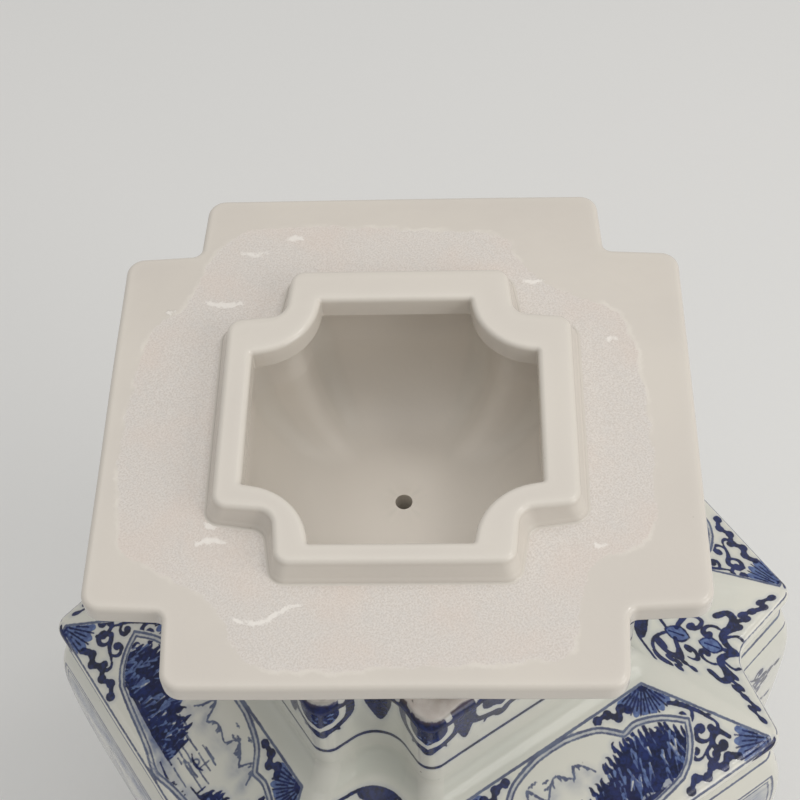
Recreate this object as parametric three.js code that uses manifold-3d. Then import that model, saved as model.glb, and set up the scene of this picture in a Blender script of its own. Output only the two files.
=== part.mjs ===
// Square ginger jar with indented corners, slab-built in porcelain, and its hat-shaped lid.
// Millimetres, +Z up. The origin is the centre of the foot, on the surface the jar stands on.
// Each mesh is one piece that the potter makes and lutes to its neighbours with slip.
// The lid lies upside down in the mouth, turned about the jar's axis, as it is photographed.

import * as THREE from "three";
import { mergeVertices } from "three/addons/utils/BufferGeometryUtils.js";
import Module from "manifold-3d";

const wasm = await Module();
wasm.setup();

// Clearances
const SLIP_SEAM = 0.3; // line of slip between two pieces that are luted side by side
const REST_GAP = 0.3; // between the upturned dome and the mouth that it leans on

// Body walls
const WALL_HEIGHT = 174; // base slab to the seat of the shoulder
const WALL = 7;
const BELLY_HALF = 92; // axis to the fullest part of the walls
const BELLY_AT = 0.8; // share of the wall height where the belly is fullest
const BELLY_SWELL = 11.5; // how far the belly stands out past the base slab
const GROOVE_DRAW = 6; // how far the groove under the shoulder draws in from the belly
const BODY_INDENT = 32; // flat side to the end of a corner notch
const BODY_NOTCH = 26.3; // flat side to the deepest point of a corner notch
const BODY_TIP = 5; // radius of the notch's two outer edges
const BODY_COVE = 8; // radius in the notch

// Foot and base slab
const FOOT_SET = 3.5; // how far the foot ring stands in from the base slab's edge
const FOOT_HEIGHT = 9;
const FOOT_WALL = 9;
const FOOT_BEVEL = 1.2;
const BASE_THICKNESS = 8;
const BASE_BEVEL = 1.5;

// Shoulder
const SHOULDER_WALL = 6.5;
const LIP_OVERHANG = 3.1; // the shoulder's edge past the groove
const LIP_THICKNESS = 6.5;
const LIP_ROUND = 2.6;
const SHOULDER_RISE = 14.6; // edge of the shoulder up to the line of the neck's side
const COVE_RADIUS = 8.2; // between the slope and the neck
const NECK_SEAT = 6.4; // upright stub above the slope, on which the neck stands

// Neck and mouth
const NECK_HALF = 53; // axis to the neck's flat side
const NECK_INDENT = 19;
const NECK_WALL = 5.8;
const NECK_HEIGHT = 30.5; // shoulder stub to the rim
const NECK_TIP = 5;
const NECK_COVE = 13;
const RIM_ROUND = 2.5;

// Lid, in its own frame: the underside of the brim is z = 0 and faces up, the dome hangs below
const LID_TURN_DEG = -35; // turn of the lid on the jar
const LID_ASIDE = -3; // along its own x axis, because the lid lies a little off the jar's axis
const BRIM_HALF = 70;
const BRIM_INDENT = 19.5;
const BRIM_THICKNESS = 6.5;
const BRIM_ROUND = 2.4;
const BRIM_TIP = 2.8;
const BRIM_COVE = 1.6;
const COLLAR_PLAY = 3.4; // between the mouth and the collar's side when the lid is on
const COLLAR_NOTCH_PLAY = 0.4; // the same at the notches
const COLLAR_TAPER = 1.8; // how far the collar's sides lean in
const COLLAR_HEIGHT = 6.2;
const COLLAR_ROUND = 1.5;
const COLLAR_TIP = 2.2;
const COLLAR_COVE = 1.8;
const COLLAR_ASIDE = [0, -1.2]; // the collar is luted on a little off the lid's axis
const COLLAR_WALL = 7.5; // collar's top edge to its bore
const COLLAR_BORE_INDENT = 14; // the bore's corners are quarter circles of this radius
const COLLAR_BORE_ASIDE = [-0.9, -2.2]; // the bore's axis from the collar's own
const DOME_HALF = 46.5; // axis to the dome's side at the brim
const DOME_TAPER = 2.7; // how far its sides draw in down to the rounding at its top
const DOME_INDENT = 15.5;
const DOME_DEPTH = 45; // underside of the brim to the outside of the dome's top
const DOME_WALL = 6.4;
const DOME_ROUND = 10;
const DOME_TIP = 6;
const DOME_COVE = 6;
const DOME_INNER_ROUND = 8;
const VENT_RADIUS = 2.2; // lets air out of the hollow finial in the kiln

// Finial
const FINIAL_RADIUS = 12.5;
const FINIAL_STEM_RADIUS = 9.4;
const FINIAL_WAIST = 6.6;
const FINIAL_STEM = 7;
const FINIAL_STEM_EDGE = 2.1; // height of the stem's upright edge at the dome
const FINIAL_STEM_TAPER = 2.1; // from that edge to the waist
const FINIAL_BUD = 20.5; // length of the bud
const FINIAL_WALL = 4.2;
const FINIAL_HOLLOW = 5.8; // radius of the hollow in the bud
const BUD_LOW = 0.85; // under 1 puts the widest part of the bud past its middle
const BUD_FULLNESS = 0.7; // under 1 makes the bud's sides fuller

// Steps of the curves
const TIP_STEPS = 3;
const NOTCH_STEPS = 5;
const WALL_STEPS = 12;
const ROUND_STEPS = 4;
const TURN_STEPS = 28;
const FAR = 400; // reach of a cutting block past the part
const SHARP = 0.6; // least radius of a corner that runs along a piece
const EDGE_SHARE = 0.49; // most of an outline's edge that one rounded corner may use
const HALVINGS = 40; // steps of a search by halves
const WELD = 1e-4; // vertices closer than this are one

// Half-widths that follow from the sizes above
const BASE_HALF = BELLY_HALF - BELLY_SWELL;
const FOOT_HALF = BASE_HALF - FOOT_SET;
const GROOVE_HALF = BELLY_HALF - GROOVE_DRAW;
const LIP_HALF = GROOVE_HALF + LIP_OVERHANG;
const MOUTH_HALF = NECK_HALF - NECK_WALL;
const COLLAR_HALF = MOUTH_HALF - COLLAR_PLAY;
const COLLAR_TOP_HALF = COLLAR_HALF - COLLAR_TAPER;
const COLLAR_INDENT = COLLAR_HALF - (MOUTH_HALF - NECK_INDENT - COLLAR_NOTCH_PLAY);
const COLLAR_BORE_HALF = COLLAR_TOP_HALF - COLLAR_WALL;
const DOME_TOP_HALF = DOME_HALF - DOME_TAPER;

// Levels, from the floor up
const BASE_Z = FOOT_HEIGHT;
const WALL_Z = BASE_Z + BASE_THICKNESS;
const SHOULDER_Z = WALL_Z + WALL_HEIGHT;
const LIP_Z = SHOULDER_Z + LIP_THICKNESS;
const NECK_Z = LIP_Z + SHOULDER_RISE + NECK_SEAT;
const RIM_Z = NECK_Z + NECK_HEIGHT;

const LID_TURN = THREE.MathUtils.degToRad(LID_TURN_DEG);
const lidAside = new THREE.Vector2(LID_ASIDE, 0).rotateAround(new THREE.Vector2(), LID_TURN);

const GLAZE = { color: 0xd9dcd6, roughness: 0.18, metalness: 0 };
const LID_GLAZE = { color: 0xdcd7cf, roughness: 0.25, metalness: 0 };
const BISCUIT = { color: 0xdccfc4, roughness: 0.8, metalness: 0 };

// A notched square: half is the axis to a flat side, tab is half that side's width, and notch is
// how far the deepest point of each corner notch lies along both axes. tip and cove are radii.
function section(half, tab, notch, tip, cove) {
  return { half, tab, notch, tip, cove };
}

// A notched square whose notches are square in plan
function squareNotched(half, indent, tip, cove) {
  return section(half, half - indent, half - indent, tip, cove);
}

function bodySection(half) {
  return section(half, half - BODY_INDENT, half - BODY_NOTCH, BODY_TIP, BODY_COVE);
}

// The same outline moved in by a wall: the notch edge runs from (half, tab) to (notch, notch)
function inset(outer, wall) {
  const edge = new THREE.Vector2(outer.notch - outer.half, outer.notch - outer.tab).normalize();
  const normal = new THREE.Vector2(edge.y, -edge.x);
  const offset = normal.x * outer.half + normal.y * outer.tab - wall;
  const half = outer.half - wall;
  const tab = (offset - normal.x * half) / normal.y;
  const notch = offset / (normal.x + normal.y);
  return section(half, tab, notch, Math.max(outer.tip - wall, SHARP), outer.cove + wall);
}

function blend(a, b, share) {
  const mix = (key) => THREE.MathUtils.lerp(a[key], b[key], share);
  return section(mix("half"), mix("tab"), mix("notch"), mix("tip"), mix("cove"));
}

// Points of an arc that rounds one corner of an outline, no longer than its edges allow
function roundCorner(before, corner, after, radius, steps) {
  const u = before.clone().sub(corner);
  const v = after.clone().sub(corner);
  const longest = EDGE_SHARE * Math.min(u.length(), v.length());
  u.normalize();
  v.normalize();
  const halfAngle = 0.5 * Math.acos(THREE.MathUtils.clamp(u.dot(v), -1, 1));
  const tangent = Math.min(radius / Math.tan(halfAngle), longest);
  const arc = tangent * Math.tan(halfAngle);
  const middle = u.clone().add(v).normalize();
  const centre = corner.clone().addScaledVector(middle, arc / Math.sin(halfAngle));
  const start = corner.clone().addScaledVector(u, tangent).sub(centre).angle();
  const end = corner.clone().addScaledVector(v, tangent).sub(centre).angle();
  const sweep = THREE.MathUtils.euclideanModulo(end - start + Math.PI, 2 * Math.PI) - Math.PI;
  const points = [];
  for (let i = 0; i <= steps; i += 1) {
    const angle = start + (sweep * i) / steps;
    points.push(new THREE.Vector2(Math.cos(angle), Math.sin(angle)).multiplyScalar(arc).add(centre));
  }
  return points;
}

// The whole outline, anticlockwise, with as many points whatever its sizes
function outline({ half, tab, notch, tip, cove }) {
  const quarter = [
    { at: new THREE.Vector2(half, -tab), radius: tip, steps: TIP_STEPS },
    { at: new THREE.Vector2(half, tab), radius: tip, steps: TIP_STEPS },
    { at: new THREE.Vector2(notch, notch), radius: cove, steps: NOTCH_STEPS },
  ];
  const origin = new THREE.Vector2();
  const corners = [];
  for (let side = 0; side < 4; side += 1) {
    for (const { at, radius, steps } of quarter) {
      corners.push({ at: at.clone().rotateAround(origin, (side * Math.PI) / 2), radius, steps });
    }
  }
  return corners.flatMap(({ at, radius, steps }, i) => {
    const before = corners[(i + corners.length - 1) % corners.length].at;
    const after = corners[(i + 1) % corners.length].at;
    return roundCorner(before, at, after, radius, steps);
  });
}

// A solid through a row of outlines, each { z, plan } with an optional shift in plan. A closed row
// is a ring, and an open one gets a flat cap at each end.
function loft(rows, closed) {
  const rings = rows.map(({ plan, aside = [0, 0] }) => {
    return outline(plan).map((point) => point.add(new THREE.Vector2(...aside)));
  });
  const count = rings[0].length;
  const positions = rings.flatMap((ring, k) => ring.flatMap((p) => [p.x, p.y, rows[k].z]));
  const index = [];
  const spans = closed ? rings.length : rings.length - 1;
  for (let k = 0; k < spans; k += 1) {
    const next = (k + 1) % rings.length;
    for (let i = 0; i < count; i += 1) {
      const j = (i + 1) % count;
      const [a, b, c, d] = [k * count + i, k * count + j, next * count + j, next * count + i];
      index.push(a, b, c, a, c, d);
    }
  }
  if (!closed) {
    const last = (rings.length - 1) * count;
    for (const [a, b, c] of THREE.ShapeUtils.triangulateShape(rings[0], [])) {
      index.push(a, c, b);
    }
    for (const [a, b, c] of THREE.ShapeUtils.triangulateShape(rings[rings.length - 1], [])) {
      index.push(last + a, last + b, last + c);
    }
  }
  const geometry = new THREE.BufferGeometry();
  geometry.setAttribute("position", new THREE.Float32BufferAttribute(positions, 3));
  geometry.setIndex(index);
  return facingOut(geometry);
}

// Turns every face over if the solid came out inside out
function facingOut(geometry) {
  const position = geometry.getAttribute("position");
  const index = geometry.getIndex();
  const corner = (i) => new THREE.Vector3().fromBufferAttribute(position, index.getX(i));
  let volume = 0;
  for (let i = 0; i < index.count; i += 3) {
    volume += corner(i).dot(corner(i + 1).cross(corner(i + 2)));
  }
  if (volume < 0) {
    for (let i = 0; i < index.count; i += 3) {
      const second = index.getX(i + 1);
      index.setX(i + 1, index.getX(i + 2));
      index.setX(i + 2, second);
    }
  }
  return geometry;
}

// Joins and cuts
function toSolid(geometry) {
  const bare = geometry.clone();
  bare.deleteAttribute("normal");
  bare.deleteAttribute("uv");
  const merged = mergeVertices(bare, WELD);
  return new wasm.Manifold(new wasm.Mesh({
    numProp: 3,
    vertProperties: new Float32Array(merged.getAttribute("position").array),
    triVerts: new Uint32Array(merged.getIndex().array),
  }));
}

function toGeometry(solid) {
  const { vertProperties, triVerts } = solid.getMesh();
  const geometry = new THREE.BufferGeometry();
  geometry.setAttribute("position", new THREE.BufferAttribute(vertProperties, 3));
  geometry.setIndex(new THREE.BufferAttribute(triVerts, 1));
  return geometry;
}

// A tall block over a rectangle of the plan
function block(x0, x1, y0, y1) {
  const geometry = new THREE.BoxGeometry(x1 - x0, y1 - y0, 2 * FAR);
  return toSolid(geometry.translate((x0 + x1) / 2, (y0 + y1) / 2, 0));
}

// Cuts a ring into its four flat slabs and its four notched corner strips. A slab is as wide as
// twice slabHalf, and a seam of slip parts it from the strips beside it.
function cutIntoSlabs(ring, slabHalf) {
  const solid = toSolid(ring);
  const strip = slabHalf + SLIP_SEAM;
  const slabs = {
    front: block(-slabHalf, slabHalf, -FAR, 0),
    right: block(0, FAR, -slabHalf, slabHalf),
    back: block(-slabHalf, slabHalf, 0, FAR),
    left: block(-FAR, 0, -slabHalf, slabHalf),
    front_right: block(strip, FAR, -FAR, -strip),
    back_right: block(strip, FAR, strip, FAR),
    back_left: block(-FAR, -strip, strip, FAR),
    front_left: block(-FAR, -strip, -FAR, -strip),
  };
  return Object.entries(slabs).map(([place, cutter]) => {
    return { place, geometry: toGeometry(solid.intersect(cutter)) };
  });
}

function mesh(name, geometry, finish) {
  const flat = geometry.index ? geometry.toNonIndexed() : geometry;
  flat.computeVertexNormals();
  const result = new THREE.Mesh(flat, new THREE.MeshStandardMaterial({ ...finish }));
  result.name = name;
  return result;
}

// Foot ring: an upright band with a softened bottom edge, left unglazed where it stands
function footRing() {
  const outer = bodySection(FOOT_HALF);
  const inner = inset(outer, FOOT_WALL);
  return loft([
    { z: 0, plan: inset(outer, FOOT_BEVEL) },
    { z: FOOT_BEVEL, plan: outer },
    { z: FOOT_HEIGHT, plan: outer },
    { z: FOOT_HEIGHT, plan: inner },
    { z: FOOT_BEVEL, plan: inner },
    { z: 0, plan: inset(outer, FOOT_WALL - FOOT_BEVEL) },
  ], true);
}

function baseSlab() {
  const edge = bodySection(BASE_HALF);
  return loft([
    { z: BASE_Z, plan: inset(edge, BASE_BEVEL) },
    { z: BASE_Z + BASE_BEVEL, plan: edge },
    { z: WALL_Z, plan: edge },
  ], false);
}

// Half-width of the wall at a share of its height: a parabola up to the belly, then a cubic roll
// in to the groove under the shoulder
function wallHalf(share) {
  if (share < BELLY_AT) {
    return BELLY_HALF - (BELLY_HALF - BASE_HALF) * (1 - share / BELLY_AT) ** 2;
  }
  return BELLY_HALF - (BELLY_HALF - GROOVE_HALF) * ((share - BELLY_AT) / (1 - BELLY_AT)) ** 3;
}

function bodyWalls() {
  const rows = [];
  for (let i = 0; i <= WALL_STEPS; i += 1) {
    const share = Math.sin((i / WALL_STEPS) * (Math.PI / 2));
    rows.push({ z: WALL_Z + share * WALL_HEIGHT, plan: bodySection(wallHalf(share)) });
  }
  const inside = rows.map(({ z, plan }) => ({ z, plan: inset(plan, WALL) })).reverse();
  return loft([...rows, ...inside], true);
}

// Shoulder: a rounded edge, a straight slope and a cove up to the stub that carries the neck
function shoulder() {
  const neck = squareNotched(NECK_HALF, NECK_INDENT, NECK_TIP, NECK_COVE);
  const lip = bodySection(LIP_HALF);
  const span = LIP_HALF - NECK_HALF;
  const slope = Math.atan2(SHOULDER_RISE, span);
  const at = (half) => blend(lip, neck, (LIP_HALF - half) / span);
  const groove = inset(lip, LIP_OVERHANG);
  const rows = [{ z: SHOULDER_Z, plan: groove }];
  const roundZ = LIP_Z - LIP_ROUND;
  for (let i = 0; i <= ROUND_STEPS; i += 1) {
    const angle = (i / ROUND_STEPS) * (Math.PI / 2);
    const z = roundZ + LIP_ROUND * Math.sin(angle);
    rows.push({ z, plan: inset(lip, LIP_ROUND * (1 - Math.cos(angle))) });
  }
  const tangent = COVE_RADIUS * Math.tan((Math.PI / 2 - slope) / 2);
  const coveHalf = NECK_HALF + COVE_RADIUS;
  const coveZ = LIP_Z + SHOULDER_RISE + tangent;
  for (let i = 0; i <= ROUND_STEPS; i += 1) {
    const angle = Math.PI / 2 - slope - (i / ROUND_STEPS) * (Math.PI / 2 - slope);
    const half = coveHalf - COVE_RADIUS * Math.cos(angle);
    rows.push({ z: coveZ - COVE_RADIUS * Math.sin(angle), plan: at(half) });
  }
  rows.push({ z: NECK_Z, plan: neck });
  const mouth = inset(neck, NECK_WALL);
  const under = SHOULDER_WALL / Math.cos(slope);
  const wallTop = inset(bodySection(GROOVE_HALF), WALL);
  const fall = ((wallTop.half - mouth.half) / span) * SHOULDER_RISE;
  const underZ = LIP_Z + SHOULDER_RISE - under;
  rows.push({ z: NECK_Z, plan: mouth });
  rows.push({ z: underZ, plan: mouth });
  rows.push({ z: Math.max(underZ - fall, SHOULDER_Z + LIP_ROUND), plan: wallTop });
  rows.push({ z: SHOULDER_Z, plan: wallTop });
  return loft(rows, true);
}

function neckRing() {
  const outer = squareNotched(NECK_HALF, NECK_INDENT, NECK_TIP, NECK_COVE);
  const rows = [{ z: NECK_Z, plan: outer }];
  for (let i = 0; i <= 2 * ROUND_STEPS; i += 1) {
    const angle = (i / (2 * ROUND_STEPS)) * Math.PI;
    const outward = angle <= Math.PI / 2;
    const depth = RIM_ROUND * (1 - Math.abs(Math.cos(angle)));
    const z = RIM_Z - RIM_ROUND * (1 - Math.sin(angle));
    rows.push({ z, plan: inset(outer, outward ? depth : NECK_WALL - depth) });
  }
  rows.push({ z: NECK_Z, plan: inset(outer, NECK_WALL) });
  return loft(rows, true);
}

// Lid pieces
function brim() {
  const outer = squareNotched(BRIM_HALF, BRIM_INDENT, BRIM_TIP, BRIM_COVE);
  const bore = inset(domeOutside(BRIM_THICKNESS), DOME_WALL);
  const rows = [];
  for (let i = 0; i <= ROUND_STEPS; i += 1) {
    const angle = (i / ROUND_STEPS) * (Math.PI / 2);
    const z = -BRIM_ROUND * (1 - Math.cos(angle));
    rows.push({ z, plan: inset(outer, BRIM_ROUND * (1 - Math.sin(angle))) });
  }
  const lower = rows.map(({ z, plan }) => ({ z: -BRIM_THICKNESS - z, plan })).reverse();
  const hole = [{ z: -BRIM_THICKNESS, plan: bore }, { z: 0, plan: bore }];
  return loft([...rows, ...lower, ...hole], true);
}

function collar() {
  const foot = squareNotched(COLLAR_HALF, COLLAR_INDENT, COLLAR_TIP, COLLAR_COVE);
  const top = squareNotched(COLLAR_TOP_HALF, COLLAR_INDENT, COLLAR_TIP, COLLAR_COVE);
  const bore = squareNotched(COLLAR_BORE_HALF, COLLAR_BORE_INDENT, SHARP, COLLAR_BORE_INDENT);
  const shoulderZ = COLLAR_HEIGHT - COLLAR_ROUND;
  const rows = [{ z: 0, plan: foot }, { z: shoulderZ, plan: top }];
  for (let i = 1; i <= ROUND_STEPS; i += 1) {
    const angle = (i / ROUND_STEPS) * (Math.PI / 2);
    const z = shoulderZ + COLLAR_ROUND * Math.sin(angle);
    rows.push({ z, plan: inset(top, COLLAR_ROUND * (1 - Math.cos(angle))) });
  }
  rows.push({ z: COLLAR_HEIGHT, plan: bore, aside: COLLAR_BORE_ASIDE });
  rows.push({ z: 0, plan: bore, aside: COLLAR_BORE_ASIDE });
  return loft(rows, true).translate(...COLLAR_ASIDE, 0);
}

// Outside of the dome at a depth below the brim's underside: straight sides that draw in a
// little, then a quarter circle to its flat top
function domeOutside(depth) {
  const roundFrom = DOME_DEPTH - DOME_ROUND;
  const share = Math.min((depth - BRIM_THICKNESS) / (roundFrom - BRIM_THICKNESS), 1);
  const side = THREE.MathUtils.lerp(DOME_HALF, DOME_TOP_HALF, share);
  const past = Math.max(depth - roundFrom, 0);
  const drawn = DOME_ROUND - Math.sqrt(Math.max(DOME_ROUND ** 2 - past ** 2, 0));
  return inset(squareNotched(side, DOME_INDENT, DOME_TIP, DOME_COVE), drawn);
}

function dome() {
  const roundFrom = DOME_DEPTH - DOME_ROUND;
  const outside = [
    { z: -BRIM_THICKNESS, plan: domeOutside(BRIM_THICKNESS) },
    { z: -roundFrom, plan: domeOutside(roundFrom) },
  ];
  const inside = outside.map(({ z, plan }) => ({ z, plan: inset(plan, DOME_WALL) }));
  const ceiling = DOME_DEPTH - DOME_WALL;
  inside[1].z = -(ceiling - DOME_INNER_ROUND);
  for (let i = 1; i <= ROUND_STEPS; i += 1) {
    const angle = (i / ROUND_STEPS) * (Math.PI / 2);
    const depth = roundFrom + DOME_ROUND * Math.sin(angle);
    outside.push({ z: -depth, plan: domeOutside(depth) });
    const inDepth = ceiling - DOME_INNER_ROUND * (1 - Math.sin(angle));
    const drawn = DOME_INNER_ROUND * (1 - Math.cos(angle));
    inside.push({ z: -inDepth, plan: inset(inside[1].plan, drawn) });
  }
  const cup = loft([...outside.reverse(), ...inside], false);
  const vent = new THREE.CylinderGeometry(VENT_RADIUS, VENT_RADIUS, 4 * DOME_DEPTH, TURN_STEPS / 2);
  return toGeometry(toSolid(cup).subtract(toSolid(vent.rotateX(Math.PI / 2))));
}

// A turned solid on the lid's axis from a closed profile of [radius, depth] pairs
function turned(profile) {
  const points = [...profile, profile[0]].map(([r, depth]) => new THREE.Vector2(r, -depth));
  const geometry = new THREE.LatheGeometry(points, TURN_STEPS).rotateX(Math.PI / 2);
  geometry.deleteAttribute("normal");
  geometry.deleteAttribute("uv");
  return facingOut(mergeVertices(geometry, WELD));
}

// Both finial pieces are bored, so that the vent reaches the hollow of the bud
function finialStem() {
  const end = DOME_DEPTH + FINIAL_STEM;
  const edge = DOME_DEPTH + FINIAL_STEM_EDGE;
  return turned([
    [VENT_RADIUS, DOME_DEPTH],
    [FINIAL_STEM_RADIUS, DOME_DEPTH],
    [FINIAL_STEM_RADIUS, edge],
    [FINIAL_WAIST, edge + FINIAL_STEM_TAPER],
    [FINIAL_WAIST, end],
    [VENT_RADIUS, end],
  ]);
}

// The bud swells from the stem and closes to a blunt point
function finialBud() {
  const start = DOME_DEPTH + FINIAL_STEM;
  const steps = 3 * ROUND_STEPS;
  const outside = [];
  for (let i = 0; i < steps; i += 1) {
    const share = i / steps;
    const swell = Math.sin(Math.PI * share ** BUD_LOW) ** BUD_FULLNESS;
    const taper = FINIAL_WAIST * (1 - share);
    outside.push([taper + (FINIAL_RADIUS - taper) * swell, start + FINIAL_BUD * share]);
  }
  return turned([
    ...outside,
    [0, start + FINIAL_BUD],
    [0, start + FINIAL_BUD - 2 * FINIAL_WALL],
    [FINIAL_HOLLOW, start + FINIAL_BUD / 2],
    [FINIAL_HOLLOW, start + FINIAL_WALL],
    [VENT_RADIUS, start + FINIAL_WALL / 2],
    [VENT_RADIUS, start],
  ]);
}

// How far a turned outline reaches towards a flat side of the mouth
function reach({ half, tab, tip }, turn) {
  const corner = new THREE.Vector2(half - tip, tab - tip);
  const angles = [corner.angle(), -corner.angle()].map((angle) => angle + turn);
  const quarterTurn = Math.PI / 2;
  const nearest = angles.map((angle) => angle - quarterTurn * Math.round(angle / quarterTurn));
  return corner.length() * Math.max(...nearest.map(Math.cos)) + tip;
}

// Least depth at which the dome reaches no further than a given opening
function domeDepthWithin(opening) {
  let narrow = DOME_DEPTH;
  let wide = BRIM_THICKNESS;
  for (let i = 0; i < HALVINGS; i += 1) {
    const middle = (narrow + wide) / 2;
    if (reach(domeOutside(middle), LID_TURN) > opening) {
      wide = middle;
    } else {
      narrow = middle;
    }
  }
  return narrow;
}

// Height of the upturned brim's face above the rim: the dome sinks until its outer edges meet
// the rounded inner edge of the mouth, wherever on that rounding this comes first
function standHeight() {
  const aside = Math.max(Math.abs(lidAside.x), Math.abs(lidAside.y));
  const mouth = MOUTH_HALF - REST_GAP - aside;
  const heights = [BRIM_THICKNESS + REST_GAP];
  for (let i = 0; i <= 2 * ROUND_STEPS; i += 1) {
    const angle = (i / (2 * ROUND_STEPS)) * (Math.PI / 2);
    const opening = mouth + RIM_ROUND * (1 - Math.cos(angle));
    const drop = RIM_ROUND * (1 - Math.sin(angle));
    heights.push(domeDepthWithin(opening) - drop);
  }
  return Math.max(...heights);
}

const jar = new THREE.Group();
jar.add(mesh("foot_ring", footRing(), BISCUIT));
jar.add(mesh("base_slab", baseSlab(), GLAZE));

const wallSlab = inset(bodySection(BASE_HALF), WALL).tab - WALL;
for (const { place, geometry } of cutIntoSlabs(bodyWalls(), wallSlab)) {
  jar.add(mesh(`wall_${place}`, geometry, GLAZE));
}

const shoulderSlab = MOUTH_HALF - NECK_INDENT - SLIP_SEAM;
for (const { place, geometry } of cutIntoSlabs(shoulder(), shoulderSlab)) {
  jar.add(mesh(`shoulder_${place}`, geometry, GLAZE));
}
jar.add(mesh("neck", neckRing(), GLAZE));

const lid = new THREE.Group();
lid.position.set(lidAside.x, lidAside.y, RIM_Z + standHeight());
lid.rotation.z = LID_TURN;
lid.add(mesh("lid_brim", brim(), LID_GLAZE));
lid.add(mesh("lid_collar", collar(), LID_GLAZE));
lid.add(mesh("lid_dome", dome(), LID_GLAZE));
lid.add(mesh("finial_stem", finialStem(), LID_GLAZE));
lid.add(mesh("finial_bud", finialBud(), LID_GLAZE));

const squareGingerJar = new THREE.Group();
squareGingerJar.name = "square_ginger_jar";
squareGingerJar.add(jar, lid);

export default squareGingerJar;
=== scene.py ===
# Square ginger jar with notched corners, painted in cobalt under the glaze, with its lid
# turned upside down in the mouth. Sizes are millimetres until a mesh is made of them.

import copy
import math
from collections import namedtuple

import bpy
import numpy as np
from mathutils import Matrix, Vector


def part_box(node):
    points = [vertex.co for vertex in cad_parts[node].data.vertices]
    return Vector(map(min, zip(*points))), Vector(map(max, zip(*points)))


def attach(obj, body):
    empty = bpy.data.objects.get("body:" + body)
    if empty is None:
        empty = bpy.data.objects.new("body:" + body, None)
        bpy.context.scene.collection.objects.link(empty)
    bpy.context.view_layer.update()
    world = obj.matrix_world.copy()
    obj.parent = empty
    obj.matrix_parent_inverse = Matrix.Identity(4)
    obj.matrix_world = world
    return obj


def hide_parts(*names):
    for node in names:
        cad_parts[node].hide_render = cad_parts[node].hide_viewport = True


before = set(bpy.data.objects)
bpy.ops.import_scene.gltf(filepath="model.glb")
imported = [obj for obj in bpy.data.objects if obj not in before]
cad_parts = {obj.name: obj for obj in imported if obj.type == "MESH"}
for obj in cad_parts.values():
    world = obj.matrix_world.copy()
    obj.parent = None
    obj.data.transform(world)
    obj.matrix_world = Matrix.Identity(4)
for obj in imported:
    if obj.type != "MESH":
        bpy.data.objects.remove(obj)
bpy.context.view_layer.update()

MM = 0.001

# Body walls
WALL_HEIGHT = 174.0
WALL = 7.0
BELLY_HALF = 92.0
BELLY_AT = 0.8
BELLY_SWELL = 11.5
GROOVE_DRAW = 6.0
BODY_INDENT = 32.0
BODY_NOTCH = 26.3
BODY_TIP = 5.0
BODY_COVE = 8.0
# Half the gap that two neighbouring slabs keep, in whose middle their surfaces meet
SEAM = 0.15

# Foot and base slab
FOOT_SET = 3.5
FOOT_HEIGHT = 9.0
FOOT_WALL = 9.0
FOOT_BEVEL = 1.2
BASE_THICKNESS = 8.0
BASE_BEVEL = 1.5
# How much of the way to the middle the faces run before a small square closes them
HEART_SHARE = 0.97

# Shoulder
SHOULDER_WALL = 6.5
LIP_OVERHANG = 3.1
LIP_THICKNESS = 6.5
LIP_ROUND = 2.6
SHOULDER_RISE = 14.6
COVE_RADIUS = 8.2
NECK_SEAT = 6.4

# Neck and mouth
NECK_HALF = 53.0
NECK_INDENT = 19.0
NECK_WALL = 5.8
NECK_HEIGHT = 30.5
NECK_TIP = 5.0
NECK_COVE = 9.3
RIM_ROUND = 2.5
MOUTH_TIP = 8.0

# Lid, in its own frame: the underside of the brim is z = 0 and faces up. The pairs of the collar
# and its bore are how far each stands aside from the axis in x and y.
LID_TURN = math.radians(-35)
BRIM_HALF = 70.6
BRIM_TAB = 50.8
BRIM_NOTCH = 51.8
BRIM_THICKNESS = 6.5
BRIM_ROUND = 1.5
BRIM_TIP = 4.6
BRIM_COVE = 2.5
COLLAR_HALF = 43.8
COLLAR_TAPER = 1.8
COLLAR_INDENT = 16.0
COLLAR_NOTCH = 13.8
COLLAR_HEIGHT = 6.2
COLLAR_ROUND = 1.5
COLLAR_TIP = 3.6
COLLAR_COVE = 4.0
COLLAR_ASIDE = (0.0, -1.2)
COLLAR_WALL = 7.5
COLLAR_FILLET = 0.6
BORE_INDENT = 16.0
BORE_NOTCH = 13.5
BORE_COVE = 16.0
BORE_ASIDE = (-0.9, -3.4)
BORE_SOFT = 1.4
DOME_HALF = 46.5
DOME_TAPER = 2.7
DOME_INDENT = 15.5
DOME_DEPTH = 45.0
DOME_WALL = 6.4
DOME_ROUND = 10.0
DOME_TIP = 6.0
DOME_COVE = 6.0
DOME_INNER_ROUND = 20.0
DOME_INNER_NOTCH = 3.5
DOME_INNER_TIP = 6.0
DOME_INNER_COVE = 6.4
VENT_RADIUS = 2.2
VENT_BEAD = 1.65
VENT_BEAD_RISE = 0.35

# Finial: its stem has an upright edge and foot before it curves in, and its bud's rows crowd
# towards the tip
FINIAL_RADIUS = 12.5
FINIAL_STEM_RADIUS = 9.4
FINIAL_WAIST = 6.6
FINIAL_STEM = 7.0
FINIAL_BUD = 20.5
FINIAL_WALL = 4.2
FINIAL_HOLLOW = 5.8
STEM_EDGE = 0.4
STEM_FOOT = 0.22
STEM_CURVE = 2.2
BUD_LOW = 0.85
BUD_FULLNESS = 0.7
BUD_CROWDING = 1.2

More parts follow.
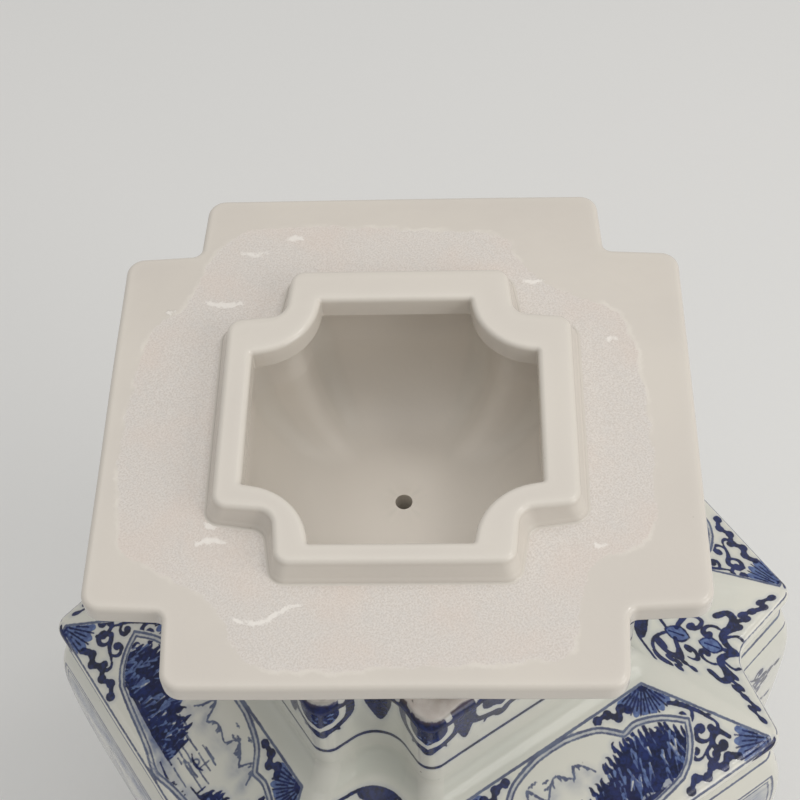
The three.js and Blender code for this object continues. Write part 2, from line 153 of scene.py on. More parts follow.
# Half-widths and levels that follow
BASE_HALF = BELLY_HALF - BELLY_SWELL
FOOT_HALF = BASE_HALF - FOOT_SET
GROOVE_HALF = BELLY_HALF - GROOVE_DRAW
LIP_HALF = GROOVE_HALF + LIP_OVERHANG
MOUTH_HALF = NECK_HALF - NECK_WALL
BASE_Z = FOOT_HEIGHT
WALL_Z = BASE_Z + BASE_THICKNESS
SHOULDER_Z = WALL_Z + WALL_HEIGHT
LIP_Z = SHOULDER_Z + LIP_THICKNESS
NECK_Z = LIP_Z + SHOULDER_RISE + NECK_SEAT
RIM_Z = NECK_Z + NECK_HEIGHT
SLOPE = math.atan2(SHOULDER_RISE, LIP_HALF - NECK_HALF)

# Outlines: the least rounding of a corner, and the most of an edge that the rounding of a tip and
# of a notch may take. A row that carries no painting has the hidden height.
SHARP = 0.6
EDGE_SHARE = 0.49
COVE_SHARE = 0.85
HIDDEN = -99.0
QUARTER = math.pi / 2

# Hand work: how far the clay may stand in from the true form, over what lengths it swells, and
# where in the swell the jar and the lid start
BODY_WAVE = 0.5
LID_WAVE = 0.3
WAVE_LENGTHS = (61.0, 83.0, 47.0)
WAVE_ACROSS = 1.3
BODY_PHASE = 0.4
LID_PHASE = 1.3

# Counts of rows and columns. Four counts of columns are those of half a corner: its side, tip,
# notch's edge and cove.
WALL_ROWS = 280
INNER_ROWS = 10
LIP_ROWS = 8
SLOPE_ROWS = 96
COVE_ROWS = 22
STUB_ROWS = 5
NECK_ROWS = 72
RIM_ROWS = 8
BASE_ROWS = 6
BRIM_ROWS = 60
BACK_ROWS = 30
EDGE_ROWS = 7
COLLAR_ROWS = 8
DOME_ROWS = 30
DOME_ROUND_ROWS = 12
DOME_FLAT_ROWS = 26
STEM_ROWS = 13
BUD_ROWS = 44
LID_COLUMNS = (50, 8, 18, 5)
DOME_COLUMNS = (36, 8, 14, 6)
NECK_COLUMNS = (68, 16, 16, 22)
WALL_CORNER_COLUMNS = (34, 10, 30, 12)
SHOULDER_CORNER_COLUMNS = (58, 14, 52, 26)
RING_COLUMNS = (24, 5, 12, 5)
WALL_SLAB_COLUMNS = 118
SHOULDER_SLAB_COLUMNS = 176
TURNED_COLUMNS = 128
# Faces that meet at less than this are shaded smooth
SMOOTH_UNDER = math.radians(48)

# Painting: an ink layer's value where there is no ink, how far round a stroke it is worked out,
# how many stretches of a stroke are worked out at once, how softly a wash ends at a frame, how far
# a curl turns and in how many steps, and how many steps a fan's petal has
INK_LAYERS = ("line", "dark", "leaf")
FAR_FROM_INK = -3.0
INK_REACH = 1.6
STROKE_CHUNK = 14
FRAME_SOFT = 0.8
CURL_TURN = 1.3 * math.pi
CURL_STEPS = 20
PETAL_STEPS = 8
# The first of each row of paintings' random seeds
PANEL_SEED = 20
FACE_SEED = 40
BODY_NOTCH_SEED = 50
NECK_SEED = 60
BRIM_SEED = 70
DOME_SEED = 80

# Glaze: how strongly a bend shows as thin or pooled glaze, the shortest step that a bend is
# measured on, the sharpest turn that counts as one, how often it is smoothed, the painted heights
# between which the rim is wiped bare, how much paler the collar is painted as painted light on
# its lit faces, and its shine
POOLING = 2.6
SHORTEST = 0.05
PIECE_END = 0.6
SMOOTHINGS = 5
RIM_WIPED = (-7.0, 0.6)
COLLAR_PAINTED_LIGHT = 0.5
SHEEN = 0.4

# The lid's place: over the middle of its brim's solid, at the height of the upturned face
low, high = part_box("lid_brim")
LID_AT = ((low.x + high.x) / 2 / MM, (low.y + high.y) / 2 / MM, high.z / MM)

# The camera, from the middle of the upturned brim, and the point of the brim's plane it looks
# at, in millimetres. The clips are in metres.
CAMERA_FROM_LID = (-115.1, -192.65, 322.0)
AIM_FROM_LID = (3.15, 3.82, 0.0)
CAMERA_ROLL = math.radians(-3.85)
FOCAL_PIXELS = 1650
IMAGE_PIXELS = 800
SENSOR = 36.0
CLIP_NEAR = 0.01
CLIP_FAR = 20

# The floor and the lamps, in metres and watts
Lamp = namedtuple("Lamp", "name place aim size power colour")
LAMPS = (
    Lamp("overhead", (0.1, 0.1, 1.45), (0, 0, 0.25), 1.7, 7.0, (1.0, 0.985, 0.96)),
    Lamp("front", (0.55, -1.05, 0.75), (0, 0, 0.22), 0.9, 5.4, (1.0, 0.985, 0.96)),
    Lamp("window", (0.55, -0.25, 1.3), (0, 0, 0.25), 0.22, 1.1, (1.0, 0.98, 0.95)),
)
SURROUND = 0.42
FLOOR_REACH = 4.0


Section = namedtuple("Section", "half tab notch tip cove")
Rows = namedtuple("Rows", "z plan v aside")
Skin = namedtuple("Skin", "points along place v")


def notched(half, indent, tip, cove):
    """A notched square whose notches are square in plan."""
    return Section(half, half - indent, half - indent, tip, cove)


def body_section(half):
    """The body's notched square: its notches go a little less deep than they are wide."""
    return Section(half, half - BODY_INDENT, half - BODY_NOTCH, BODY_TIP, BODY_COVE)


def inset(outer, wall):
    """The same outline moved in by wall: each edge's line is shifted along its own normal, and
    the corners are where the shifted lines cross."""
    edge_x = outer.notch - outer.half
    edge_y = outer.notch - outer.tab
    length = np.hypot(edge_x, edge_y)
    normal_x = edge_y / length
    normal_y = -edge_x / length
    offset = normal_x * outer.half + normal_y * outer.tab - wall
    half = outer.half - wall
    tab = (offset - normal_x * half) / normal_y
    notch = offset / (normal_x + normal_y)
    tip = np.maximum(outer.tip - wall, SHARP)
    cove = np.maximum(outer.cove + wall, SHARP)
    return Section(half, tab, notch, tip, cove)


def blend(first, second, share):
    """Every size of the outline goes in a straight line from the first to the second."""
    return Section(*(a + (b - a) * share for a, b in zip(first, second)))


def rows(z, plan, v=HIDDEN, aside=(0.0, 0.0)):
    """Rows of one outline each; v is the painted height, or HIDDEN where nothing is painted."""
    z = np.atleast_1d(np.asarray(z, float))
    plan = Section(*(np.broadcast_to(value, z.shape) for value in plan))
    shift = np.broadcast_to(np.asarray(aside, float), (z.size, 2))
    return Rows(z, plan, np.broadcast_to(v, z.shape), shift)


def pile(*parts):
    """Several runs of rows as one."""
    plan = Section(*(np.concatenate(values) for values in zip(*(part.plan for part in parts))))
    z = np.concatenate([part.z for part in parts])
    v = np.concatenate([part.v for part in parts])
    return Rows(z, plan, v, np.concatenate([part.aside for part in parts]))


def octant(plan, start, columns):
    """An eighth of the outline, anticlockwise from y = start on the side that faces +x to the
    diagonal: the straight side, the arc round the tip, the notch's straight edge and half of
    the arc in the notch. Gives x, y and the distance along the side from its middle, or along
    the notch from the diagonal, and which columns belong to the notch."""
    half, tab, notch, tip, cove = (np.reshape(value, (-1, 1)) for value in plan)
    edge_x = notch - half
    edge_y = notch - tab
    length = np.hypot(edge_x, edge_y)
    edge_x = edge_x / length
    edge_y = edge_y / length
    tip_half = 0.5 * np.arccos(-edge_y)
    cove_half = 0.5 * np.arccos(2 * edge_x * edge_y)
    tip_cut = np.minimum(tip / np.tan(tip_half), EDGE_SHARE * np.minimum(2 * tab, length))
    cove_cut = np.minimum(cove / np.tan(cove_half), COVE_SHARE * length)
    tip_arc = tip_cut * np.tan(tip_half)
    cove_arc = cove_cut * np.tan(cove_half)
    side_n, tip_n, edge_n, cove_n = columns
    steps = [np.linspace(0, 1, side_n + 1)]
    steps += [np.linspace(0, 1, n + 1)[1:] for n in (tip_n, edge_n, cove_n)]

    side_end = tab - tip_cut
    side_y = start + (side_end - start) * steps[0]
    side_x = half + 0 * side_y

    turn = np.arctan2(-edge_x, edge_y)
    angle = turn * steps[1]
    tip_x = half - tip_arc + tip_arc * np.cos(angle)
    tip_y = side_end + tip_arc * np.sin(angle)

    run = length - tip_cut - cove_cut
    walked = tip_cut + run * steps[2]
    edge_px = half + edge_x * walked
    edge_py = tab + edge_y * walked

    middle = notch + cove_arc / np.sin(cove_half) / math.sqrt(2)
    first = np.arctan2(edge_x, -edge_y)
    diagonal = -1.5 * QUARTER
    bend = first + (diagonal - first) * steps[3]
    cove_x = middle + cove_arc * np.cos(bend)
    cove_y = middle + cove_arc * np.sin(bend)

    cove_run = cove_arc * (first - diagonal)
    notch_run = cove_run + run
    tip_along = np.where(steps[1] <= 0.5, side_end + tip_arc * angle,
                         -(notch_run + tip_arc * (turn - angle)))
    edge_along = -(cove_run + run * (1 - steps[2]))
    cove_along = -cove_arc * (bend - diagonal)
    x = np.hstack([side_x, tip_x, edge_px, cove_x])
    y = np.hstack([side_y, tip_y, edge_py, cove_y])
    along = np.hstack([side_y, tip_along, edge_along, cove_along])
    in_notch = np.concatenate([steps[0] < 0, steps[1] > 0.5, steps[2] > 0, steps[3] > 0])
    return x, y, along, in_notch


def quarter_turned(x, y, turns):
    """The plan turned by whole quarter turns."""
    for _ in range(turns % 4):
        x, y = -y, x
    return x, y


def skin(profile, x, y, along, place, turns):
    """Points of a grid of rows and columns, with its painting coordinates."""
    x, y = quarter_turned(x, y, turns)
    z = np.broadcast_to(profile.z[:, None], x.shape)
    aside = profile.aside[:, None, :]
    points = np.stack([x + aside[:, :, 0], y + aside[:, :, 1], z], axis=2)
    return Skin(points, along, place, np.broadcast_to(profile.v[:, None], x.shape))


def corner_skin(profile, start, columns, turns):
    """A notched corner: an octant and its mirror image in the diagonal. Place is 0 on the first
    side, 1 in the notch and 2 on the second side."""
    x, y, along, in_notch = octant(profile.plan, start, columns)
    place = np.where(in_notch, 1, 0)
    full_x = np.hstack([x, y[:, -2::-1]])
    full_y = np.hstack([y, x[:, -2::-1]])
    full_along = np.hstack([along, -along[:, -2::-1]])
    full_place = np.concatenate([place, np.where(place == 1, 1, 2)[-2::-1]])
    return skin(profile, full_x, full_y, full_along, full_place, turns)


def slab_skin(profile, reach, columns, turns):
    """A flat side: the columns are straight lines at even steps across it."""
    across = np.linspace(-reach, reach, columns + 1)[None, :]
    half = np.reshape(profile.plan.half, (-1, 1))
    y = across + 0 * half
    return skin(profile, half + 0 * across, y, y, np.zeros(columns + 1, int), turns)


def ring_skin(profile, columns):
    """The whole outline: four corners, each from the middle of one side to that of the next.
    Place is the side's number for a side and four more for a notch."""
    parts = [corner_skin(profile, 0.0, columns, k) for k in range(4)]
    points = np.concatenate([part.points[:, :-1] for part in parts], axis=1)
    along = np.concatenate([part.along[:, :-1] for part in parts], axis=1)
    v = np.concatenate([part.v[:, :-1] for part in parts], axis=1)
    names = [np.choose(part.place[:-1], [k, 4 + k, (k + 1) % 4]) for k, part in enumerate(parts)]
    return Skin(points, along, np.concatenate(names), v)


def wave(points, phase):
    """A slow swell between 0 and 1: the mean of three products of a sine along one axis and a
    cosine along the next, each over its own lengths and out of step with the others."""
    total = 0
    for i, length in enumerate(WAVE_LENGTHS):
        turned = np.roll(points, i, axis=2) * 2 * math.pi / length
        total = total + (np.sin(turned[..., 0] + phase + 2.1 * i)
                         * np.cos(turned[..., 1] / WAVE_ACROSS + 1.7 * phase + i))
    return 0.5 + total / (2 * len(WAVE_LENGTHS))


def plan_normals(points, wrap):
    """Level outward normals: the run of the columns turned a quarter turn clockwise."""
    if wrap:
        run = np.roll(points, -1, axis=1) - np.roll(points, 1, axis=1)
    else:
        run = np.gradient(points, axis=1)
    size = np.hypot(run[..., 0], run[..., 1])
    size[size == 0] = 1
    return np.stack([run[..., 1] / size, -run[..., 0] / size, 0 * size], axis=2)


def by_hand(shape, wrap):
    """The jar's skin with its painted rows drawn in by up to the body's wave, as hand-pressed
    clay is."""
    pull = BODY_WAVE * wave(shape.points, BODY_PHASE) * (shape.v > HIDDEN)
    points = shape.points - plan_normals(shape.points, wrap) * pull[..., None]
    return shape._replace(points=points)


def loop_faces(row_count, column_count, wrap):
    """Quads of a grid whose rows close on themselves, and whose columns do too if wrap."""
    spans = column_count if wrap else column_count - 1
    r, c = np.meshgrid(np.arange(row_count), np.arange(spans), indexing="ij")
    r2 = (r + 1) % row_count
    c2 = (c + 1) % column_count
    quads = [r * column_count + c, r * column_count + c2, r2 * column_count + c2, r2 * column_count + c]
    return np.stack(quads, axis=2).reshape(-1, 4)


def signed_volume(points, quads):
    """Sum over the faces of the boxes that their corners span with the middle."""
    a, b, c, d = (points[quads[:, i]] for i in range(4))
    return np.sum(np.cross(b - a, c - a) * a) + np.sum(np.cross(c - a, d - a) * a)


def make_mesh(name, points, quads, polygons, material, attributes):
    """A mesh object at the origin from points in millimetres, smooth quads and flat polygons."""
    if signed_volume(points, quads) < 0:
        quads = quads[:, ::-1]
        polygons = [polygon[::-1] for polygon in polygons]
    mesh = bpy.data.meshes.new(name)
    mesh.vertices.add(len(points))
    mesh.vertices.foreach_set("co", (points * MM).astype(np.float32).ravel())
    corners = np.concatenate([quads.ravel(), *polygons]).astype(np.int32)
    sizes = np.array([4] * len(quads) + [len(polygon) for polygon in polygons])
    mesh.loops.add(len(corners))
    mesh.loops.foreach_set("vertex_index", corners)
    mesh.polygons.add(len(sizes))
    mesh.polygons.foreach_set("loop_start", (np.cumsum(sizes) - sizes).astype(np.int32))
    smooth = np.arange(len(sizes)) < len(quads)
    mesh.polygons.foreach_set("use_smooth", smooth)
    mesh.update(calc_edges=True)
    mesh.validate()
    mesh.set_sharp_from_angle(angle=SMOOTH_UNDER)
    for key, values in attributes.items():
        layer = mesh.attributes.new(key, "FLOAT", "POINT")
        layer.data.foreach_set("value", np.asarray(values, np.float32).ravel())
    mesh.materials.append(material)
    made = bpy.data.objects.new(name, mesh)
    bpy.context.scene.collection.objects.link(made)
    return made


def place_piece(look, node, body, slot, points, quads, polygons, attributes):
    """A mesh named after its look and the node that it stands for. It rides on the body and has
    the slot's finish."""
    piece = make_mesh(look + "_" + node, points, quads, polygons, FINISHES[slot], attributes)
    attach(piece, body)
    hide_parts(node)


def place_solid(look, node, body, slot, shape, wrap, attributes):
    """A closed solid from a skin: a ring if wrap, and otherwise with a flat cap at each end."""
    row_count, column_count = shape.points.shape[:2]
    quads = loop_faces(row_count, column_count, wrap)
    loop = np.arange(row_count) * column_count
    caps = [] if wrap else [loop, (loop + column_count - 1)[::-1]]
    place_piece(look, node, body, slot, shape.points.reshape(-1, 3), quads, caps, attributes)


def wall_half(share):
    """Half-width of the wall: a parabola up to the belly, then a cubic roll in to the groove."""
    below = BELLY_HALF - BELLY_SWELL * (1 - share / BELLY_AT) ** 2
    above = BELLY_HALF - GROOVE_DRAW * ((share - BELLY_AT) / (1 - BELLY_AT)) ** 3
    return np.where(share < BELLY_AT, below, above)


def wall_rows():
    """The wall's outside from the base slab up, then its inside down again."""
    up = np.linspace(0, 1, WALL_ROWS + 1)
    down = np.linspace(1, 0, INNER_ROWS + 1)
    height = up * WALL_HEIGHT
    outer = rows(WALL_Z + height, body_section(wall_half(up)), height)
    inner = inset(body_section(wall_half(down)), WALL)
    return pile(outer, rows(WALL_Z + down * WALL_HEIGHT, inner))


def shoulder_rows():
    """The shoulder's edge, its straight slope, the cove up to the stub, and the underside."""
    neck = notched(NECK_HALF, NECK_INDENT, NECK_TIP, NECK_COVE)
    lip = body_section(LIP_HALF)
    edge = inset(lip, LIP_ROUND)
    quarter = np.linspace(0, QUARTER, LIP_ROWS + 1)
    under_rise = LIP_THICKNESS - LIP_ROUND
    below = rows(SHOULDER_Z + under_rise * (1 - np.cos(quarter)),
                 inset(lip, LIP_OVERHANG * (1 - np.sin(quarter))),
                 -LIP_ROUND * QUARTER - LIP_THICKNESS + LIP_ROUND + under_rise * np.sin(quarter))
    over = quarter[1:]
    slope_start = LIP_ROUND / math.cos(SLOPE)
    around = rows(LIP_Z - LIP_ROUND * (1 - np.sin(over)), inset(lip, LIP_ROUND * (1 - np.cos(over))),
                  slope_start - LIP_ROUND * (QUARTER - over))
    steep = QUARTER - SLOPE
    cove_half = NECK_HALF + COVE_RADIUS
    cove_z = LIP_Z + SHOULDER_RISE + COVE_RADIUS * math.tan(steep / 2)

    def at(half):
        return blend(lip, neck, (LIP_HALF - half) / (LIP_HALF - NECK_HALF))

    foot_half = cove_half - COVE_RADIUS * math.cos(steep)
    foot_z = cove_z - COVE_RADIUS * math.sin(steep)
    share = np.linspace(0, 1, SLOPE_ROWS + 1)[1:]
    slope_length = (LIP_HALF - LIP_ROUND - foot_half) / math.cos(SLOPE)
    slope = rows(LIP_Z + (foot_z - LIP_Z) * share, blend(edge, at(foot_half), share),
                 slope_start + slope_length * share)
    bend = steep * (1 - np.linspace(0, 1, COVE_ROWS + 1)[1:])
    slope_end = slope_start + slope_length
    cove = rows(cove_z - COVE_RADIUS * np.sin(bend), at(cove_half - COVE_RADIUS * np.cos(bend)),
                slope_end + COVE_RADIUS * (steep - bend))
    stub_v = slope_end + COVE_RADIUS * steep + NECK_Z - cove_z
    stub = rows(NECK_Z, neck, stub_v)
    mouth = inset(neck, NECK_WALL)
    under = LIP_Z + SHOULDER_RISE - SHOULDER_WALL / math.cos(SLOPE)
    wall_top = inset(body_section(GROOVE_HALF), WALL)
    fall = (wall_top.half - mouth.half) / (LIP_HALF - NECK_HALF) * SHOULDER_RISE
    ledge = max(under - fall, SHOULDER_Z + LIP_ROUND)
    inside = pile(rows(np.linspace(NECK_Z, under, STUB_ROWS), mouth), rows(ledge, wall_top),
                  rows(SHOULDER_Z, wall_top))
    return pile(below, around, slope, cove, stub, inside)


def neck_rows():
    """The neck's outside up, round the rim and down inside. Its painted height is measured
    down from the rim, and is negative inside."""
    outer = notched(NECK_HALF, NECK_INDENT, NECK_TIP, NECK_COVE)
    straight = NECK_HEIGHT - RIM_ROUND
    share = np.linspace(0, 1, NECK_ROWS + 1)
    up = rows(NECK_Z + straight * share, outer, NECK_HEIGHT - straight * share)
    angle = np.linspace(0, 2 * QUARTER, 2 * RIM_ROWS + 1)[1:]
    depth = RIM_ROUND * (1 - np.abs(np.cos(angle)))
    wall = np.where(angle <= QUARTER, depth, NECK_WALL - depth)
    inner = inset(outer, NECK_WALL)._replace(tip=MOUTH_TIP)
    over = rows(RIM_Z - RIM_ROUND * (1 - np.sin(angle)), blend(outer, inner, wall / NECK_WALL),
                RIM_ROUND * (1 - angle / QUARTER))
    down = np.linspace(0, 1, INNER_ROWS + 1)[1:]
    inside = rows(RIM_Z - RIM_ROUND - straight * down, inner, -RIM_ROUND - straight * down)
    return pile(up, over, inside)


def foot_rows():
    """A low upright band whose standing edge is rounded on both sides."""
    outer = body_section(FOOT_HALF)
    quarter = np.linspace(0, QUARTER, LIP_ROWS + 1)
    level = FOOT_BEVEL * (1 - np.sin(quarter))
    drawn = FOOT_BEVEL * (1 - np.cos(quarter))
    up = np.linspace(FOOT_BEVEL, FOOT_HEIGHT, INNER_ROWS + 1)[1:]
    outside = rows(level[::-1], inset(outer, drawn[::-1]), 0.0)
    inside = rows(level, inset(outer, FOOT_WALL - drawn))
    return pile(outside, rows(up, outer, up), rows(up[::-1], inset(outer, FOOT_WALL)), inside)


def base_rows():
    """The base slab: a rounded lower edge, an upright side, and flat faces that close on a
    small square in the middle, above and below."""
    edge = body_section(BASE_HALF)
    quarter = np.linspace(0, QUARTER, LIP_ROWS + 1)
    heart = blend(edge, Section(0.0, 0.0, 0.0, SHARP, SHARP), HEART_SHARE)
    low_edge = inset(edge, BASE_BEVEL)
    share = np.linspace(1, 0, BASE_ROWS + 1)[:-1]
    below = rows(BASE_Z + 0 * share, blend(low_edge, heart, share))
    bevel = rows(BASE_Z + BASE_BEVEL * (1 - np.cos(quarter)),
                 inset(edge, BASE_BEVEL * (1 - np.sin(quarter))), 0.0)
    side = rows(np.linspace(BASE_Z + BASE_BEVEL, WALL_Z, LIP_ROWS + 1)[1:], edge, 0.0)
    above = rows(WALL_Z + 0 * share, blend(edge, heart, share[::-1]))
    return pile(below, bevel, side, above)


def dome_outside(depth):
    """Outside of the dome: sides that draw in in a straight line, then a quarter circle."""
    round_from = DOME_DEPTH - DOME_ROUND
    share = np.clip((depth - BRIM_THICKNESS) / (round_from - BRIM_THICKNESS), 0, 1)
    past = np.maximum(depth - round_from, 0)
    drawn = DOME_ROUND - np.sqrt(np.maximum(DOME_ROUND ** 2 - past ** 2, 0))
    side = notched(DOME_HALF - DOME_TAPER * share, DOME_INDENT, DOME_TIP, DOME_COVE)
    return inset(side, drawn)


def dome_hollow(depth):
    """Inside of the dome: the outside moved in, with shallower and softer notches."""
    hollow = inset(dome_outside(depth), DOME_WALL)
    return hollow._replace(notch=hollow.notch + DOME_INNER_NOTCH, tip=DOME_INNER_TIP,
                           cove=DOME_INNER_COVE)


def brim_rows():
    """The brim's upturned face from its bore out, round its edge and back on the other side.
    The painted height is the distance in from the edge, from 0 up on the upturned face and
    from -1 down on the other."""
    outer = Section(BRIM_HALF, BRIM_TAB, BRIM_NOTCH, BRIM_TIP, BRIM_COVE)
    bore = dome_hollow(BRIM_THICKNESS)
    edge = inset(outer, BRIM_ROUND)
    width = edge.half - bore.half
    out = np.linspace(0, 1, BRIM_ROWS + 1)
    upper = rows(0 * out, blend(bore, edge, out), BRIM_ROUND + width * (1 - out))
    turn = np.linspace(0, QUARTER, EDGE_ROWS + 1)[1:]
    drawn = BRIM_ROUND * (1 - np.sin(turn))
    fallen = BRIM_ROUND * (1 - np.cos(turn))
    over = rows(-fallen, inset(outer, drawn), drawn)
    low_edge = inset(outer, drawn[::-1])
    under = rows(-BRIM_THICKNESS + fallen[::-1], low_edge, -1 - drawn[::-1])
    back = np.linspace(0, 1, BACK_ROWS + 1)
    lower = rows(-BRIM_THICKNESS + 0 * back, blend(edge, bore, back), -1 - BRIM_ROUND - width * back)
    return pile(upper, over, under, lower)


def collar_rows():
    """The collar: a small fillet of slip at its foot, leaning sides, a rounded shoulder, a
    flat top that rolls into the bore, and the upright bore."""
    foot = Section(COLLAR_HALF, COLLAR_HALF - COLLAR_INDENT, COLLAR_HALF - COLLAR_NOTCH, COLLAR_TIP,
                   COLLAR_COVE)
    top = foot._replace(half=foot.half - COLLAR_TAPER, tab=foot.tab - COLLAR_TAPER / 2,
                        notch=foot.notch - COLLAR_TAPER)
    bore_half = COLLAR_HALF - COLLAR_TAPER - COLLAR_WALL
    bore = Section(bore_half, bore_half - BORE_INDENT, bore_half - BORE_NOTCH, SHARP, BORE_COVE)
    quarter = np.linspace(0, QUARTER, EDGE_ROWS + 1)
    to_end = 1 - np.sin(quarter)
    from_start = 1 - np.cos(quarter)
    shoulder = COLLAR_HEIGHT - COLLAR_ROUND
    fillet = rows(COLLAR_FILLET * from_start, inset(foot, -COLLAR_FILLET * to_end), 0.0, COLLAR_ASIDE)
    share = np.linspace(COLLAR_FILLET / shoulder, 1, COLLAR_ROWS + 1)[1:]
    side = rows(shoulder * share, blend(foot, top, share), 1.0, COLLAR_ASIDE)
    roll = rows(COLLAR_HEIGHT - COLLAR_ROUND * to_end[1:], inset(top, COLLAR_ROUND * from_start[1:]), 2.0,
                COLLAR_ASIDE)
    across = np.linspace(0, 1, COLLAR_ROWS + 1)[1:-1]
    flat = rows(COLLAR_HEIGHT + 0 * across, blend(inset(top, COLLAR_ROUND), inset(bore, -BORE_SOFT), across),
                3.0, np.outer(1 - across, COLLAR_ASIDE) + np.outer(across, BORE_ASIDE))
    turn_in = rows(COLLAR_HEIGHT - BORE_SOFT * from_start, inset(bore, -BORE_SOFT * to_end), 4.0, BORE_ASIDE)
    down = np.linspace(COLLAR_HEIGHT - BORE_SOFT, 0, COLLAR_ROWS + 1)[1:]
    return pile(fillet, side, roll, flat, turn_in, rows(down, bore, 5.0, BORE_ASIDE))


def circle_like(points, radius):
    """The plan's points pulled to a circle along their own directions from the axis."""
    angle = np.arctan2(points[..., 1], points[..., 0])
    return radius * np.stack([np.cos(angle), np.sin(angle)], axis=-1)


def dome_skin():
    """The dome as a ring round its vent: over the outside from the vent to the brim, and back
    inside down the walls and across the floor. Near the vent the outline turns into a circle."""
    round_from = DOME_DEPTH - DOME_ROUND
    quarter = np.linspace(0, QUARTER, DOME_ROUND_ROWS + 1)
    depth = np.concatenate([round_from + DOME_ROUND * np.sin(quarter[::-1]),
                            np.linspace(round_from, BRIM_THICKNESS, DOME_ROWS + 1)[1:]])
    outside = rows(-depth, dome_outside(depth), depth)
    inner_side = dome_hollow(BRIM_THICKNESS)
    inner_low = dome_hollow(round_from)
    inner_floor = Section(*(value * (1 - DOME_INNER_ROUND / inner_low.half) for value in inner_low))
    ceiling = DOME_DEPTH - DOME_WALL
    straight = ceiling - DOME_INNER_ROUND
    share = np.linspace(0, 1, DOME_ROWS + 1)
    sides = rows(-BRIM_THICKNESS - (straight - BRIM_THICKNESS) * share,
                 blend(inner_side, inner_low, share), 0.0)
    turn = quarter[1:]
    roll = rows(-(straight + DOME_INNER_ROUND * np.sin(turn)),
                blend(inner_low, inner_floor, 1 - np.cos(turn)), 0.0)
    ring = ring_skin(pile(outside, sides, roll), DOME_COLUMNS)
    points = ring.points
    share = (1 - np.linspace(0, 1, DOME_FLAT_ROWS + 1)[1:])[::-1]

    def flat(edge, face_z, bead):
        """From the edge of the flat face to the vent, whose edge swells into a small bead."""
        plan = edge[None, :, :2]
        round_plan = circle_like(plan, VENT_RADIUS)
        t = share[:, None, None]
        inward = round_plan + (plan - round_plan) * t
        far = np.linalg.norm(inward, axis=2) - VENT_RADIUS
        z = face_z + bead * np.exp(-(far / VENT_BEAD) ** 2)
        return np.concatenate([inward, z[..., None]], axis=2)

    outer_flat = flat(points[0], -DOME_DEPTH, 0.0)
    inner_flat = flat(points[-1], -ceiling, VENT_BEAD_RISE)[::-1]
    points = np.concatenate([outer_flat, points, inner_flat])
    along = np.broadcast_to(ring.along[:1], points.shape[:2])
    across = (1 - share[:, None]) * (outside.plan.half[0] - VENT_RADIUS) + np.zeros((1, ring.v.shape[1]))
    v = np.concatenate([DOME_DEPTH + across, ring.v, np.zeros_like(across)])
    return Skin(points, along, ring.place, v)


def on_jar(points):
    """From the lid's own frame to the jar's: turned about the upright and moved to its seat."""
    cos, sin = math.cos(LID_TURN), math.sin(LID_TURN)
    x = points[..., 0] * cos - points[..., 1] * sin + LID_AT[0]
    y = points[..., 0] * sin + points[..., 1] * cos + LID_AT[1]
    return np.stack([x, y, points[..., 2] + LID_AT[2]], axis=-1)


def turned_skin(profile, columns, outside):
    """A closed profile of [radius, depth] pairs carried round the lid's axis. The first rows are
    the painted outside, whose painted height is the run along them."""
    angle = np.arange(columns) * 2 * math.pi / columns
    x = profile[:, :1] * np.cos(angle)
    y = profile[:, :1] * np.sin(angle)
    z = np.broadcast_to(-profile[:, 1:], x.shape)
    run = np.concatenate([[0], np.cumsum(np.linalg.norm(np.diff(profile, axis=0), axis=1))])
    run[outside:] = HIDDEN
    along = np.broadcast_to((angle - math.pi) * FINIAL_RADIUS, x.shape)
    v = np.broadcast_to(run[:, None], x.shape)
    return Skin(np.stack([x, y, z], axis=2), along, np.zeros(columns, int), v)


SIDES = ("right", "back", "left", "front")
CORNERS = ("back_right", "back_left", "front_left", "front_right")


def outline_gap(points, x, y):
    """Distance to a closed outline, positive inside it: the least over its edges, with the sign
    from how many edges a level line to the right crosses."""
    gap = np.full((y.size, x.size), np.inf)
    inside = np.zeros(gap.shape, bool)
    for (ax, ay), (bx, by) in zip(points, np.roll(points, -1, axis=0)):
        run_x = bx - ax
        run_y = by - ay
        square = max(run_x ** 2 + run_y ** 2, 1e-9)
        share = np.clip(((x - ax) * run_x + (y - ay) * run_y) / square, 0, 1)
        gap = np.minimum(gap, np.hypot(x - ax - share * run_x, y - ay - share * run_y))
        if ay != by:
            crossing = (ay > y) != (by > y)
            inside ^= crossing & (x < ax + (y - ay) * run_x / (by - ay))
    return np.where(inside, gap, -gap)


def fade(gap, soft):
    """1 inside an edge and 0 outside, with a straight slope of the soft width between."""
    return np.clip(0.5 + gap / soft, 0, 1)


def over(first, second):
    """Two thin coats on each other: the shares that they let through are multiplied."""
    return 1 - (1 - first) * (1 - second)


